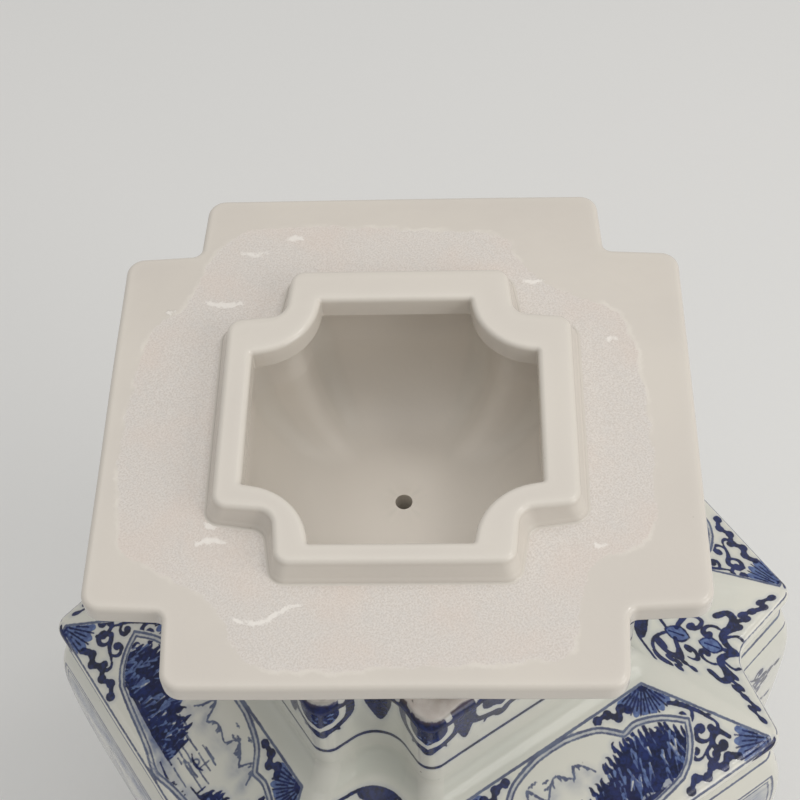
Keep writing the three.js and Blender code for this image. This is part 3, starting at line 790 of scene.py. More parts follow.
class Canvas:
    """A flat painting measured in millimetres. The ink layers hold, at each pixel, the largest
    over the strokes of their half-width minus the distance to them, so an edge lies where the
    value is 0. The tone layer holds the strength of the washes, from 0 to 1. No stroke is
    narrower than the finest, so that none is lost between the mesh's points."""

    def __init__(self, reach, bottom, top, pixel, finest):
        self.reach = reach
        self.bottom = bottom
        self.pixel = pixel
        self.finest = finest
        self.x = -reach + pixel * np.arange(round(2 * reach / pixel) + 1)[None, :]
        self.y = bottom + pixel * np.arange(round((top - bottom) / pixel) + 1)[:, None]
        self.layers = self.empty_layers()

    def empty_layers(self):
        """Ink layers far from any ink, and a tone layer without a wash."""
        size = (self.y.size, self.x.size)
        layers = {name: np.full(size, FAR_FROM_INK) for name in INK_LAYERS}
        layers["tone"] = np.zeros(size)
        return layers

    def blank(self):
        """An empty painting over the same place."""
        other = copy.copy(self)
        other.layers = self.empty_layers()
        return other

    def window(self, points, margin):
        """The pixels round some points, as slices and as grids of x and y."""
        corner = (-self.reach, self.bottom)
        lowest = np.floor((points.min(axis=0) - margin - corner) / self.pixel)
        highest = np.ceil((points.max(axis=0) + margin - corner) / self.pixel) + 1
        c0, r0 = np.maximum(lowest, 0).astype(int)
        c1, r1 = np.maximum(highest, 0).astype(int)
        return (slice(r0, r1), slice(c0, c1)), self.x[:, c0:c1], self.y[r0:r1]

    def field(self, points, widths, margin):
        """Half-width minus distance to a polyline whose width changes along it, and where on the
        canvas that is worked out."""
        points = np.asarray(points, float)
        radii = np.broadcast_to(np.asarray(widths, float) / 2, len(points))
        where, x, y = self.window(points, radii.max() + margin)
        start = points[:-1, :, None, None]
        run = (points[1:] - points[:-1])[:, :, None, None]
        square = np.maximum(run[:, 0] ** 2 + run[:, 1] ** 2, 1e-9)
        from_x = x[None] - start[:, 0]
        from_y = y[None] - start[:, 1]
        share = np.clip((from_x * run[:, 0] + from_y * run[:, 1]) / square, 0, 1)
        gap = np.hypot(from_x - share * run[:, 0], from_y - share * run[:, 1])
        first = radii[:-1, None, None]
        grown = (radii[1:] - radii[:-1])[:, None, None]
        return where, (first + share * grown - gap).max(axis=0)

    def stroke(self, layer, points, widths):
        """A round-ended stroke along a polyline, with its width given at each point."""
        target = self.layers[layer]
        widths = np.broadcast_to(np.maximum(widths, self.finest), len(points))
        for i in range(0, len(points) - 1, STROKE_CHUNK):
            part = slice(i, i + STROKE_CHUNK + 1)
            where, field = self.field(points[part], widths[part], INK_REACH)
            target[where] = np.maximum(target[where], field)

    def level(self, layer, height, width, reach=None):
        """A level line as far as the reach to both sides, or else across the whole canvas."""
        reach = reach or self.reach
        self.stroke(layer, [(-reach, height), (reach, height)], width)

    def carve(self, layer, points, widths):
        """A stroke that takes ink away instead."""
        target = self.layers[layer]
        where, field = self.field(points, widths, INK_REACH)
        target[where] = np.minimum(target[where], -field)

    def wash(self, points, widths, strength, soft):
        """A soft-edged stroke of thin colour, laid over what is there."""
        tone = self.layers["tone"]
        where, field = self.field(points, widths, soft)
        tone[where] = over(tone[where], strength * fade(field, soft))

    def distance(self, points):
        """Distance to a closed outline at every pixel, positive inside it."""
        return outline_gap(points, self.x, self.y)

    def fill(self, layer, points):
        """A filled shape with a crisp edge."""
        target = self.layers[layer]
        where, x, y = self.window(points, INK_REACH)
        target[where] = np.maximum(target[where], outline_gap(points, x, y))

    def line_at(self, layer, distance, width):
        """A line along the places where a distance is 0."""
        self.layers[layer] = np.maximum(self.layers[layer], width / 2 - np.abs(distance))

    def keep_within(self, mask):
        """Takes away what was painted where the mask's distance is under 0."""
        for name in INK_LAYERS:
            self.layers[name] = np.minimum(self.layers[name], mask)
        self.layers["tone"] = self.layers["tone"] * fade(mask, FRAME_SOFT)

    def lay_over(self, other):
        """Adds another painting of the same size."""
        for name in INK_LAYERS:
            self.layers[name] = np.maximum(self.layers[name], other.layers[name])
        self.layers["tone"] = over(self.layers["tone"], other.layers["tone"])

    def sample(self, name, x, y):
        """The layer's value at any points, in a straight line between the four nearest pixels."""
        layer = self.layers[name]
        blank = 0.0 if name == "tone" else FAR_FROM_INK
        column = (x + self.reach) / self.pixel
        row = (y - self.bottom) / self.pixel
        last_row, last_column = np.subtract(layer.shape, 1)
        inside = (column >= 0) & (row >= 0) & (column <= last_column) & (row <= last_row)
        c0 = np.clip(column, 0, last_column - 1).astype(int)
        r0 = np.clip(row, 0, last_row - 1).astype(int)
        c = column - c0
        r = row - r0
        low_row = layer[r0, c0] * (1 - c) + layer[r0, c0 + 1] * c
        high_row = layer[r0 + 1, c0] * (1 - c) + layer[r0 + 1, c0 + 1] * c
        return np.where(inside, low_row * (1 - r) + high_row * r, blank)


def spline(keys, per_span=8):
    """A smooth curve through the keys: between two keys it is the cubic whose slopes there are
    half the step between the keys on either side."""
    keys = np.asarray(keys, float)
    keys = np.vstack([2 * keys[0] - keys[1], keys, 2 * keys[-1] - keys[-2]])
    t = np.linspace(0, 1, per_span, endpoint=False)[:, None]
    spans = []
    for a, b, c, d in zip(keys, keys[1:], keys[2:], keys[3:]):
        spans.append(b + 0.5 * ((c - a) * t + (2 * a - 5 * b + 4 * c - d) * t ** 2
                                + (3 * b - a - 3 * c + d) * t ** 3))
    return np.vstack([*spans, keys[-2:-1]])


def brush(canvas, layer, keys, widths, per_span=8):
    """A stroke through the keys, with its width at the start, in the middle and at the end."""
    path = spline(keys, per_span)
    canvas.stroke(layer, path, np.interp(np.linspace(0, 1, len(path)), [0, 0.5, 1], widths))


def mirrored(keys, side):
    """The keys on the right side, or on the left where side is -1."""
    return np.asarray(keys, float) * (side, 1)


def comma(canvas, at, heading, size, hand, width):
    """A curl: its heading turns ever faster to one hand, and the stroke thickens to a head."""
    t = np.linspace(0, 1, CURL_STEPS)
    turned = heading + hand * CURL_TURN * t ** 1.2
    step = 2.4 * size / len(t) * (1.25 - 0.6 * t)
    moves = step[:, None] * np.stack([np.cos(turned), np.sin(turned)], axis=1)
    path = np.asarray(at, float) + np.cumsum(moves, axis=0)
    canvas.stroke("dark", path, width * np.interp(t, [0, 0.5, 0.85, 1], [0.45, 0.85, 1.0, 1.55]))


def chain(canvas, keys, width):
    """A heavy stem that swings from side to side, with a round head at every turn."""
    keys = np.asarray(keys, float)
    brush(canvas, "dark", keys, (1.0 * width, 0.85 * width, 0.7 * width), 6)
    for key in keys[1:]:
        canvas.stroke("dark", [key, key], 1.4 * width)


def tendril(canvas, rng, keys, size, width, curls):
    """A stem with curls that leave it on both sides in turn and shrink towards its end."""
    path = spline(keys, 12)
    brush(canvas, "dark", keys, (0.6 * width, 0.9 * width, 0.35 * width), 12)
    heading = np.arctan2(*np.gradient(path, axis=0).T[::-1])
    hand = 1
    for i in range(curls):
        along = (i + 0.5) / curls
        k = int(along * (len(path) - 1))
        grown = size * (1 - 0.4 * along) * rng.uniform(0.85, 1.15)
        leaving = heading[k] + hand * rng.uniform(0.35, 0.75)
        comma(canvas, path[k], leaving, grown, hand, width * (1.1 - 0.3 * along))
        hand = -hand
    comma(canvas, path[-1], heading[-1], 0.6 * size, hand, 0.8 * width)


def leaf(canvas, at, angle, length, width, outline):
    """A pointed oval: two sine arcs over its length, filled with mid blue and edged darker."""
    t = np.linspace(0, 1, 14)
    arch = width / 2 * np.sin(math.pi * t) ** 0.8
    plan = np.concatenate([np.stack([t * length, arch], 1), np.stack([t * length, -arch], 1)[-2:0:-1]])
    cos, sin = math.cos(angle), math.sin(angle)
    points = plan @ np.array([[cos, sin], [-sin, cos]]) + np.asarray(at, float)
    canvas.fill("leaf", points)
    canvas.stroke("dark", np.vstack([points, points[:1]]), outline)
    tip = np.array([cos, sin]) * length
    canvas.stroke("dark", np.asarray(at, float) + np.array([[0.15], [0.75]]) * tip, outline)


def fan(canvas, at, radius, first, last, petals):
    """A part of a flower seen flat: petals with round ends about a dark heart, parted by lines."""
    at = np.asarray(at, float)
    angle = np.linspace(first, last, PETAL_STEPS * petals + 1)
    lobes = np.abs(np.sin(petals * math.pi * (angle - first) / (last - first)))
    ray = radius * np.stack([np.cos(angle), np.sin(angle)], axis=1)
    canvas.fill("leaf", np.vstack([at, at + (0.84 + 0.16 * lobes)[:, None] * ray]))
    for edge in ray[::PETAL_STEPS]:
        canvas.stroke("dark", [at + 0.28 * edge, at + 0.97 * edge], [0.55, 0.3])
    for middle in ray[PETAL_STEPS // 2::PETAL_STEPS]:
        canvas.stroke("dark", [at + 0.45 * middle, at + 0.8 * middle], [0.2, 0.4])
    canvas.fill("dark", np.vstack([at, at + 0.24 * ray]))


def bank(canvas, rng, left, right, level, depth):
    """A shore: a dark tapering stroke with grass above it and a wash below."""
    count = max(int((right - left) / 2.5), 3)
    x = np.linspace(left, right, count)
    y = level + 0.5 * depth * np.sin(np.linspace(0, 5, count) + rng.uniform(0, 6))
    keys = np.stack([x, y], axis=1)
    brush(canvas, "dark", keys, (0.3, depth, 0.25))
    canvas.wash(keys - (0, depth), 1.6 * depth, 0.55, 2.0)
    for gx in rng.uniform(left + 0.1 * (right - left), right - 0.1 * (right - left), count):
        gy = np.interp(gx, x, y)
        brush(canvas, "dark", [(gx, gy), (gx + rng.normal(0, 0.5), gy + rng.uniform(1, 2.4) * depth)],
              (0.5, 0.35, 0.15), 4)


def hills(canvas, rng, left, right, level, height, peaks, strength):
    """A ridge: peaks of random height with folds running down, over a fading wash."""
    x = np.linspace(left, right, 2 * peaks + 1)
    half_step = x[1] - x[0]
    x[1:-1] += rng.uniform(-0.45, 0.45, x.size - 2) * half_step
    y = np.full(x.size, float(level))
    y[1::2] += height * rng.uniform(0.4, 1, peaks)
    y[2:-1:2] += height * rng.uniform(0.1, 0.4, peaks - 1)
    keys = np.stack([x, y], axis=1)
    ledges = keys[:-1] + np.diff(keys, axis=0) * rng.uniform(0.35, 0.65, (x.size - 1, 1))
    ledges[:, 1] += height * rng.uniform(-0.08, 0.16, x.size - 1)
    ridge = spline(np.insert(keys, np.arange(1, x.size), ledges, axis=0), 6)
    ridge[:, 1] += rng.normal(0, 0.012 * height, len(ridge))
    canvas.stroke("line", ridge, rng.uniform(0.35, 0.7, len(ridge)))
    fall = np.array([0, 0.22 * height])
    for k in range(3):
        canvas.wash(ridge - fall * (k + 0.6), 0.4 * height, strength * (0.6 - 0.17 * k), 0.35 * height)
    for k in range(1, x.size - 1, 2):
        for _ in range(7):
            away = rng.uniform(-0.8, 0.8) * half_step
            top = np.interp(x[k] + away, ridge[:, 0], ridge[:, 1])
            run = rng.uniform(0.15, 0.5) * max(top - level, 0.0)
            start = np.array([x[k] + away, top - rng.uniform(0.04, 0.3) * run])
            lean = np.sign(away) * rng.uniform(0.1, 0.35) * run
            brush(canvas, "line", [start, start + (lean, -0.5 * run), start + (1.3 * lean, -run)],
                  (0.7, 0.4, 0.2), 5)


def rock(canvas, rng, x, y, width, height):
    """A boulder: a jagged outline, short parallel hatching on its dark side, and a wash."""
    t = np.linspace(0, math.pi, 8)
    edge = np.stack([x - width / 2 * np.cos(t), y + height * np.sin(t) ** 0.7], axis=1)
    edge[1:-1] += rng.normal(0, 0.08, (6, 2)) * (width, height)
    path = spline(edge, 4)
    canvas.stroke("dark", path, rng.uniform(0.4, 0.9, len(path)) * min(1.0, height / 6))
    canvas.wash([(x + 0.1 * width, y + 0.1 * height), (x + 0.15 * width, y + 0.6 * height)], 0.7 * width,
                0.5, 0.4 * width)
    for k in range(6):
        start = np.array([x + width * (0.02 + 0.07 * k), y + height * rng.uniform(0.45, 0.8)])
        brush(canvas, "dark", [start, start + (0.03 * width, -0.2 * height),
                               start + (-0.02 * width, -0.42 * height)], (0.5, 0.45, 0.15), 4)


def tree(canvas, rng, x, y, height, lean):
    """A tree: a bent tapering trunk, forking boughs, and tufts of short leaf strokes."""
    sway = lean * height
    trunk = spline([(x, y), (x + 0.15 * sway, y + 0.35 * height), (x - 0.05 * sway, y + 0.65 * height),
                    (x + 0.3 * sway, y + height)])
    canvas.stroke("dark", trunk, np.linspace(0.055, 0.015, len(trunk)) * height)
    for k in range(7):
        at = trunk[int((0.35 + 0.09 * k) * (len(trunk) - 1))]
        side = 1 if k % 2 else -1
        reach = height * rng.uniform(0.16, 0.3)
        end = at + (side * reach, 0.35 * reach * rng.uniform(0.2, 1.4))
        brush(canvas, "dark", [at, at + 0.5 * (end - at) + (0, 0.08 * height), end],
              (0.03 * height, 0.02 * height, 0.2), 5)
        for _ in range(9):
            foot = end + rng.normal(0, 0.055, 2) * height
            tip = foot + (rng.normal(0, 0.03) * height, rng.uniform(0.03, 0.07) * height)
            canvas.stroke("dark", [foot, tip], [0.028 * height, 0.012 * height])
        canvas.wash([end, end + (0.3, 0.3)], 0.2 * height, 0.45, 0.12 * height)


def water(canvas, rng, left, right, low_y, high_y, count):
    """Still water: short level strokes, thin at both ends."""
    for _ in range(count):
        run = rng.uniform(0.08, 0.3) * (right - left)
        x = rng.uniform(left, right - run)
        y = rng.uniform(low_y, high_y)
        brush(canvas, "line", [(x, y), (x + run / 2, y + rng.normal(0, 0.1)), (x + run, y)],
              (0.15, 0.45, 0.15), 6)


def boat(canvas, x, y, size):
    """A small boat: a curved hull, a hooped shelter and a mooring pole."""
    hull = [(x - size, y + 0.25 * size), (x - 0.4 * size, y), (x + 0.5 * size, y),
            (x + 1.1 * size, y + 0.3 * size)]
    brush(canvas, "dark", hull, (0.3, 0.9, 0.3), 6)
    t = np.linspace(0, math.pi, 10)
    hoop = np.stack([x - 0.35 * size * np.cos(t), y + 0.5 * size * np.sin(t)], axis=1)
    canvas.stroke("line", hoop, 0.5)
    canvas.wash(hoop, 0.3 * size, 0.5, 0.6)
    canvas.stroke("line", [(x + 0.7 * size, y + 0.1 * size), (x + 0.75 * size, y + 1.3 * size)], 0.35)


def birds(canvas, rng, x, y, count, size):
    """Far birds: two short arcs that meet."""
    for _ in range(count):
        at = np.array([x, y]) + rng.normal(0, 3 * size, 2) * (1, 0.5)
        wings = np.array([(-1, 0.4), (-0.4, 0.5), (0, 0), (0.5, 0.6), (1, 0.35)]) * size
        brush(canvas, "line", at + wings, (0.2, 0.45, 0.2), 4)


def pavilion(canvas, x, y, size):
    """An open pavilion: a curved roof on posts, with a rail."""
    corners = np.array([(-1, 1), (-0.5, 1.15), (0, 1.7), (0.5, 1.15), (1, 1)])
    roof = spline(corners * size + (x, y), 7)
    canvas.stroke("dark", roof, 0.7)
    canvas.fill("leaf", roof)
    for post in (-0.6, -0.2, 0.2, 0.6):
        canvas.stroke("line", [(x + post * size, y), (x + post * size, y + size)], 0.45)
    for rail in (0.0, 0.3):
        canvas.stroke("line", [(x - 0.7 * size, y + rail * size), (x + 0.7 * size, y + rail * size)], 0.4)


def grove(canvas, rng, left, right, base, height):
    """A grove: a dark mass with a ragged top over mid blue, which shows where short strokes are
    scratched out of the dark, more of them towards the foot."""
    count = max(int((right - left) / 1.5), 6)
    x = np.linspace(left, right, 2 * count + 1)
    crown = base + height * (0.3 + 0.62 * np.sin(math.pi * (x - left) / (right - left)) ** 0.6)
    crown[1::2] += rng.uniform(0.02, 0.24, count) * height
    crown[0::2] -= rng.uniform(0.0, 0.1, count + 1) * height
    x[1::2] += rng.uniform(-0.5, 0.3, count) * (right - left) / count
    top = np.stack([x, crown], axis=1)
    foot = np.stack([x, base + 0.05 * height * np.sin(0.9 * x)], axis=1)
    outline = np.concatenate([top, foot[::-1]])
    canvas.fill("dark", outline)
    canvas.fill("leaf", outline)
    for k in range(4 * count):
        start = np.array([rng.uniform(left, right), base + height * (0.8 * rng.uniform() ** 1.6 - 0.05)])
        run = rng.uniform(0.12, 0.34) * height
        path = np.array([start, start + (rng.normal(0.2, 0.3) * run, run)])
        canvas.carve("dark", path, [0.15, rng.uniform(0.4, 1.0)])
        if k % 5 == 0:
            canvas.carve("leaf", path + (0.3, 0), [0.1, rng.uniform(0.2, 0.6)])
    for k in range(1, len(top), 2):
        brush(canvas, "dark", [top[k] - (0.1, 1.6), top[k], top[k] + (rng.normal(0, 0.35), 0.5)],
              (1.3, 0.8, 0.2), 4)
    canvas.wash([(left, base), (right, base)], 0.5 * height, 0.5, 3.0)


# Canvases: reach to each side, lowest and highest painted height, pixel and finest stroke
PANEL_CANVAS = (60.0, -9.0, 46.0, 0.2, 0.5)
STRIP_CANVAS = (40.0, -9.0, 46.0, 0.2, 0.5)
NECK_CANVAS = (40.0, -3.0, 34.0, 0.25, 0.6)
FACE_CANVAS = (66.0, 0.0, WALL_HEIGHT, 0.4, 0.72)
BODY_NOTCH_CANVAS = (42.0, 0.0, WALL_HEIGHT, 0.35, 0.8)
BRIM_CANVAS = (56.0, -2.0, 32.0, 0.35, 0.8)
DOME_CANVAS = (50.0, 4.0, 82.0, 0.4, 0.9)
PLAN_CANVAS = (72.0, -72.0, 72.0, 0.4, 0.5)

# A slope of the shoulder, measured along the side from its middle and up the slope from the
# edge. Chains, tendrils and blots are drawn on the right and mirrored on the left.
BORDER = ((-31.0, 32.6), (31.0, 32.6), (53.6, 2.6), (52.4, 0.5), (-52.4, 0.5), (-53.6, 2.6))
CARTOUCHE_ARCS = (
    ((0.0, 32.2), (5.8, 31.8), (14.0, 29.4), (19.5, 24.9)),
    ((19.5, 24.9), (24.0, 25.4), (31.0, 22.8), (37.0, 18.3)),
    ((37.0, 18.3), (34.6, 13.3), (31.0, 9.0), (26.9, 6.3)),
    ((26.9, 6.3), (21.0, 5.2), (8.0, 3.2), (0.0, 1.0)),
)
DOUBLE_LINE = 1.25
PANEL_VIEW = (-36, 36, 2.5, 30)
PANEL_CHAINS = (
    (((24, 28.6), (22.2, 30.2), (20.4, 28.6), (18.2, 30.8), (15, 30.9)), 1.9),
    (((43.4, 3.0), (40.6, 4.6), (38.2, 3.0), (35.4, 5.0), (32.6, 3.2), (29.6, 4.6), (26.6, 2.6)), 2.0),
)
PANEL_TENDRILS = (
    (((34.5, 24.5), (37, 22.6), (40, 19.2), (42.6, 14.5)), 4.0, 1.8, 3),
    (((44.0, 8.5), (41.4, 12.2), (38.6, 9.8), (35, 8.3)), 4.2, 1.9, 3),
)
PANEL_BLOTS = (
    (((54.6, 1.0), (51, -0.2), (46, -0.4)), (1.2, 2.1, 0.5)),
    (((55.0, -1.9), (52, -2.2), (48, -2.3)), (0.5, 1.0, 0.4)),
)

# A notch of the shoulder, measured from its diagonal. By the neck: a thin bowed stem that ends in
# a blot, a heavy hook with a round head, and a forked chain below it. By the edge: a stem with
# thin arcs to the edge and a heavy curl, and the chain that swings out towards the tip.
STRIP_STROKES = (
    (((0.6, 21.6), (3.6, 25.2), (8.0, 27.8), (11.0, 27.6)), (0.8, 1.0, 1.2)),
    (((9.6, 28.2), (11.6, 27.8), (12.4, 25.8)), (1.6, 3.0, 2.0)),
    (((1.6, 19.0), (5.4, 18.8), (8.0, 20.6), (7.6, 23.4), (4.9, 24.6)), (1.3, 2.5, 2.4)),
    (((0.4, 1.4), (1.4, 4.4), (3.6, 6.6), (6.0, 6.8)), (0.8, 1.9, 2.6)),
    (((3.6, 5.8), (5.2, 3.4), (4.4, 1.2)), (1.0, 0.9, 0.8)),
    (((6.4, 6.4), (10.2, 7.6), (11.6, 10.4), (9.8, 12.0)), (2.4, 1.9, 2.6)),
)
STRIP_CHAINS = (
    (((7.8, 22.8), (10.0, 24.2), (10.6, 22.2), (12.8, 23.2)), 1.8),
    (((7.8, 20.4), (9.6, 19.8), (11.0, 17.9)), 1.6),
    (((5.8, 6.2), (8.2, 4.9), (9.4, 6.8), (11.8, 5.0), (12.8, 6.6), (15.0, 5.2)), 1.9),
    (((15.0, 5.2), (17.6, 3.4), (18.8, 5.2), (21.6, 3.6)), 1.8),
)
COVE_LINE = 30.4
COVE_LINE_REACH = 12.88


def cartouche_outline():
    """The bracket-lobed frame: arcs that meet in cusps, and their mirror images."""
    half = np.vstack([spline(arc, 7)[:-1] for arc in CARTOUCHE_ARCS])
    return np.vstack([half, mirrored(half, -1)[:0:-1]])


def spread(left, right, hand):
    """Gives two functions: the place at a share of the width, and two such places from left to
    right. The hand mirrors them."""
    def at(share):
        return left + (right - left) * (share if hand > 0 else 1 - share)

    def span(first, second):
        return sorted((at(first), at(second)))

    return at, span


def river_view(canvas, rng, left, right, low_y, high_y, hand):
    """A river view for a wide panel: a thick grove on one side, rocks and a low bank on the
    other, open water with strokes and a boat between, and far hills."""
    width = right - left
    height = high_y - low_y
    at, span = spread(left, right, hand)

    hills(canvas, rng, *span(0.22, 0.6), low_y + 0.66 * height, 0.24 * height, 4, 0.4)
    grove(canvas, rng, *span(0.6, 0.98), low_y + 0.2 * height, 0.56 * height)
    grove(canvas, rng, *span(0.5, 0.68), low_y + 0.16 * height, 0.36 * height)
    bank(canvas, rng, *span(0.48, 0.98), low_y + 0.18 * height, 0.05 * height)
    rock(canvas, rng, at(0.12), low_y + 0.26 * height, 0.15 * width, 0.36 * height)
    grove(canvas, rng, *span(0.02, 0.16), low_y + 0.3 * height, 0.46 * height)
    grove(canvas, rng, *span(0.15, 0.3), low_y + 0.22 * height, 0.2 * height)
    bank(canvas, rng, *span(0.03, 0.36), low_y + 0.22 * height, 0.05 * height)
    bank(canvas, rng, *span(0.3, 0.52), low_y + 0.06 * height, 0.045 * height)
    water(canvas, rng, *span(0.28, 0.62), low_y + 0.12 * height, low_y + 0.55 * height, 16)
    boat(canvas, at(0.42), low_y + 0.36 * height, 0.1 * height)
    birds(canvas, rng, at(0.4), low_y + 0.85 * height, 4, 0.03 * height)
    canvas.wash([(left, low_y + 0.1 * height), (right, low_y + 0.14 * height)], 0.12 * height, 0.35, 2.0)


def paint_panel(seed, hand):
    """One slope of the shoulder: border, lobed frame with a river view, fans in the corners
    and scrolls of dark leaves in the ground between."""
    rng = np.random.default_rng(seed)
    canvas = Canvas(*PANEL_CANVAS)
    frame_gap = canvas.distance(cartouche_outline())
    border_gap = canvas.distance(np.array(BORDER))
    picture = canvas.blank()
    river_view(picture, rng, *PANEL_VIEW, hand)
    picture.keep_within(frame_gap - DOUBLE_LINE - 0.35)

    ground = canvas.blank()
    for side in (-1, 1):
        low_end, high_end = sorted((-QUARTER + side * 0.2 * math.pi, -QUARTER - side * QUARTER))
        fan(ground, (31.0 * side, 32.6), 9.2, low_end, high_end, 7)
        low_end, high_end = sorted((QUARTER + side * 0.05, QUARTER + side * 1.8))
        fan(ground, (54.8 * side, 1.2), 12.0, low_end, high_end, 6)
        for keys, width in PANEL_CHAINS:
            chain(ground, mirrored(keys, side), width)
        for keys, size, width, curls in PANEL_TENDRILS:
            tendril(ground, rng, mirrored(keys, side), size, width, curls)
    ground.keep_within(np.minimum(-frame_gap - 0.7, border_gap - 0.4))
    canvas.lay_over(picture)
    canvas.lay_over(ground)
    canvas.line_at("line", frame_gap, 0.7)
    canvas.line_at("line", frame_gap - DOUBLE_LINE, 0.6)
    between = (frame_gap > 0) & (frame_gap < DOUBLE_LINE)
    canvas.layers["tone"] = np.maximum(canvas.layers["tone"], 0.45 * between)
    canvas.line_at("line", border_gap, 0.75)
    for side in (-1, 1):
        for keys, widths in PANEL_BLOTS:
            brush(canvas, "dark", mirrored(keys, side), widths)
    return canvas


def paint_strip():
    """One notch of the shoulder: a scroll that is the same on both sides of the diagonal, with
    two pointed leaves on it and chains of curls that run out along the edge."""
    canvas = Canvas(*STRIP_CANVAS)
    for side in (-1, 1):
        out = 0.0 if side > 0 else math.pi
        for keys, widths in STRIP_STROKES:
            brush(canvas, "dark", mirrored(keys, side), widths)
        for keys, width in STRIP_CHAINS:
            chain(canvas, mirrored(keys, side), width)
        canvas.stroke("dark", mirrored([(4.5, 24.2), (5.0, 23.8)], side), 3.2)
        comma(canvas, (6.4 * side, 17.4), out - 1.2 * side, 3.6, -side, 1.6)
        comma(canvas, (5.2 * side, 8.0), out + 1.0 * side, 3.6, side, 1.6)
    leaf(canvas, (0, 22.0), -QUARTER, 7.0, 4.4, 0.35)
    leaf(canvas, (0, 5.6), QUARTER, 6.8, 4.2, 0.35)
    canvas.stroke("dark", [(0, 5.6), (0, 1.0)], 1.1)
    canvas.level("line", 0.7, 0.5)
    canvas.level("dark", COVE_LINE, 1.1, COVE_LINE_REACH)
    turn = np.linspace(0, math.pi, 16)
    canvas.fill("dark", np.stack([5.6 * np.cos(turn), COVE_LINE - 3.6 * np.sin(turn)], axis=1))
    return canvas


# The neck's lobes in shares of their half-width and in millimetres down from the rim, with their
# hearts, the thorn on each side of a lobe, and the drop that hangs between two
LOBE_HALF = 8.6
LOBE = ((-1.04, 1.0), (-1.04, 6.0), (-0.9, 9.6), (-0.52, 11.6), (-0.2, 12.6), (0.0, 14.6),
        (0.2, 12.6), (0.52, 11.6), (0.9, 9.6), (1.04, 6.0), (1.04, 1.0))
LOBE_HEART = ((-0.66, 1.0), (-0.66, 5.6), (-0.48, 7.8), (-0.2, 8.6), (0.0, 10.2), (0.2, 8.6),
              (0.48, 7.8), (0.66, 5.6), (0.66, 1.0))
THORN = (0.832, 2.34)
DROP = ((-3.4, 0), (-3.0, 7), (0, 16), (3.0, 7), (3.4, 0))


def turn_at(plan):
    """How far the middle of the tip's arc is from the side's middle and from the notch's
    diagonal, for a square notch."""
    cove_cut = min(plan.cove, COVE_SHARE * (plan.half - plan.notch))
    run = plan.half - plan.notch - plan.tip - cove_cut
    return plan.tab - plan.tip + plan.tip * QUARTER / 2, run + (cove_cut + plan.tip) * QUARTER / 2


def paint_neck(in_notch, seed):
    """A side or a notch of the neck, read down from the rim: cloud-shaped lobes with thick
    thorny outlines and mottled dark hearts, that also hang at the tips, and a line at the foot."""
    rng = np.random.default_rng(seed)
    canvas = Canvas(*NECK_CANVAS)
    tip = turn_at(notched(NECK_HALF, NECK_INDENT, NECK_TIP, NECK_COVE))[1 if in_notch else 0]
    middles = (-tip, tip) if in_notch else (-tip, -tip / 3, tip / 3, tip)
    for middle in middles:
        lobe = np.array(LOBE) * (LOBE_HALF, 1) + (middle, 0)
        brush(canvas, "dark", lobe, (2.4, 2.7, 2.4), 5)
        for root, side in ((lobe[3], -1), (lobe[7], 1)):
            thorn = mirrored(THORN, side)
            brush(canvas, "dark", [root, root + 0.6 * thorn, root + thorn], (1.8, 1.0, 0.3), 4)
        heart = spline(np.array(LOBE_HEART) * (LOBE_HALF, 1) + (middle, 0), 5)
        canvas.fill("leaf", heart)
        canvas.fill("dark", heart)
        for _ in range(8):
            start = np.array([middle + rng.uniform(-0.55, 0.55) * LOBE_HALF, rng.uniform(2.0, 8.6)])
            canvas.carve("dark", [start, start + rng.normal(0, 1.1, 2)], [0.3, 0.9])
    for gap in np.add(middles[1:], middles[:-1]) / 2:
        canvas.fill("dark", spline(np.array(DROP) + (gap, 0), 5))
    x = np.linspace(-canvas.reach, canvas.reach, 80)
    canvas.stroke("dark", np.stack([x, 2.2 + 0.4 * np.sin(x * 0.9 + seed)], axis=1), 1.4)
    canvas.level("dark", 23.4, 1.6)
    return canvas


def body_tab(height):
    """Half the width of the wall's flat side at a height above the base slab."""
    return wall_half(np.clip(height / WALL_HEIGHT, 0, 1)) - BODY_INDENT


# A petal and its heart in shares of its width and height
PETAL = ((-0.46, 0), (-0.46, 0.55), (-0.25, 0.82), (0, 1), (0.25, 0.82), (0.46, 0.55), (0.46, 0))
PETAL_HEART = ((-0.2, 0.1), (-0.2, 0.45), (0, 0.72), (0.2, 0.45), (0.2, 0.1))


def lappets(canvas, reach, low_y, tall, count):
    """A row of pointed petals that stand on a line, each with a filled heart and an edge."""
    step = 2 * reach / count
    for k in range(count):
        x = -reach + (k + 0.5) * step
        canvas.stroke("dark", spline(np.array(PETAL) * (step, tall) + (x, low_y), 4), 0.8)
        canvas.fill("leaf", spline(np.array(PETAL_HEART) * (step, tall) + (x, low_y), 4))
        canvas.wash([(x, low_y + 0.1 * tall), (x, low_y + 0.6 * tall)], 0.6 * step, 0.35, 1.5)


# The body's painting, measured up from the base slab: the lines that run round the jar with
# their widths, the picture's frame, and the petals below it
BODY_LINES = ((168.5, 0.9), (4.0, 1.2), (21.0, 0.9))
FACE_LOW = 27.0
FACE_HIGH = 160.0
FACE_MARGIN = 4.2
FACE_VIEW = 52
BODY_PETALS = (4.5, 15)
VINE_FOOT = 30
VINE_STEP = 21.5
VINE_WAVES = 6


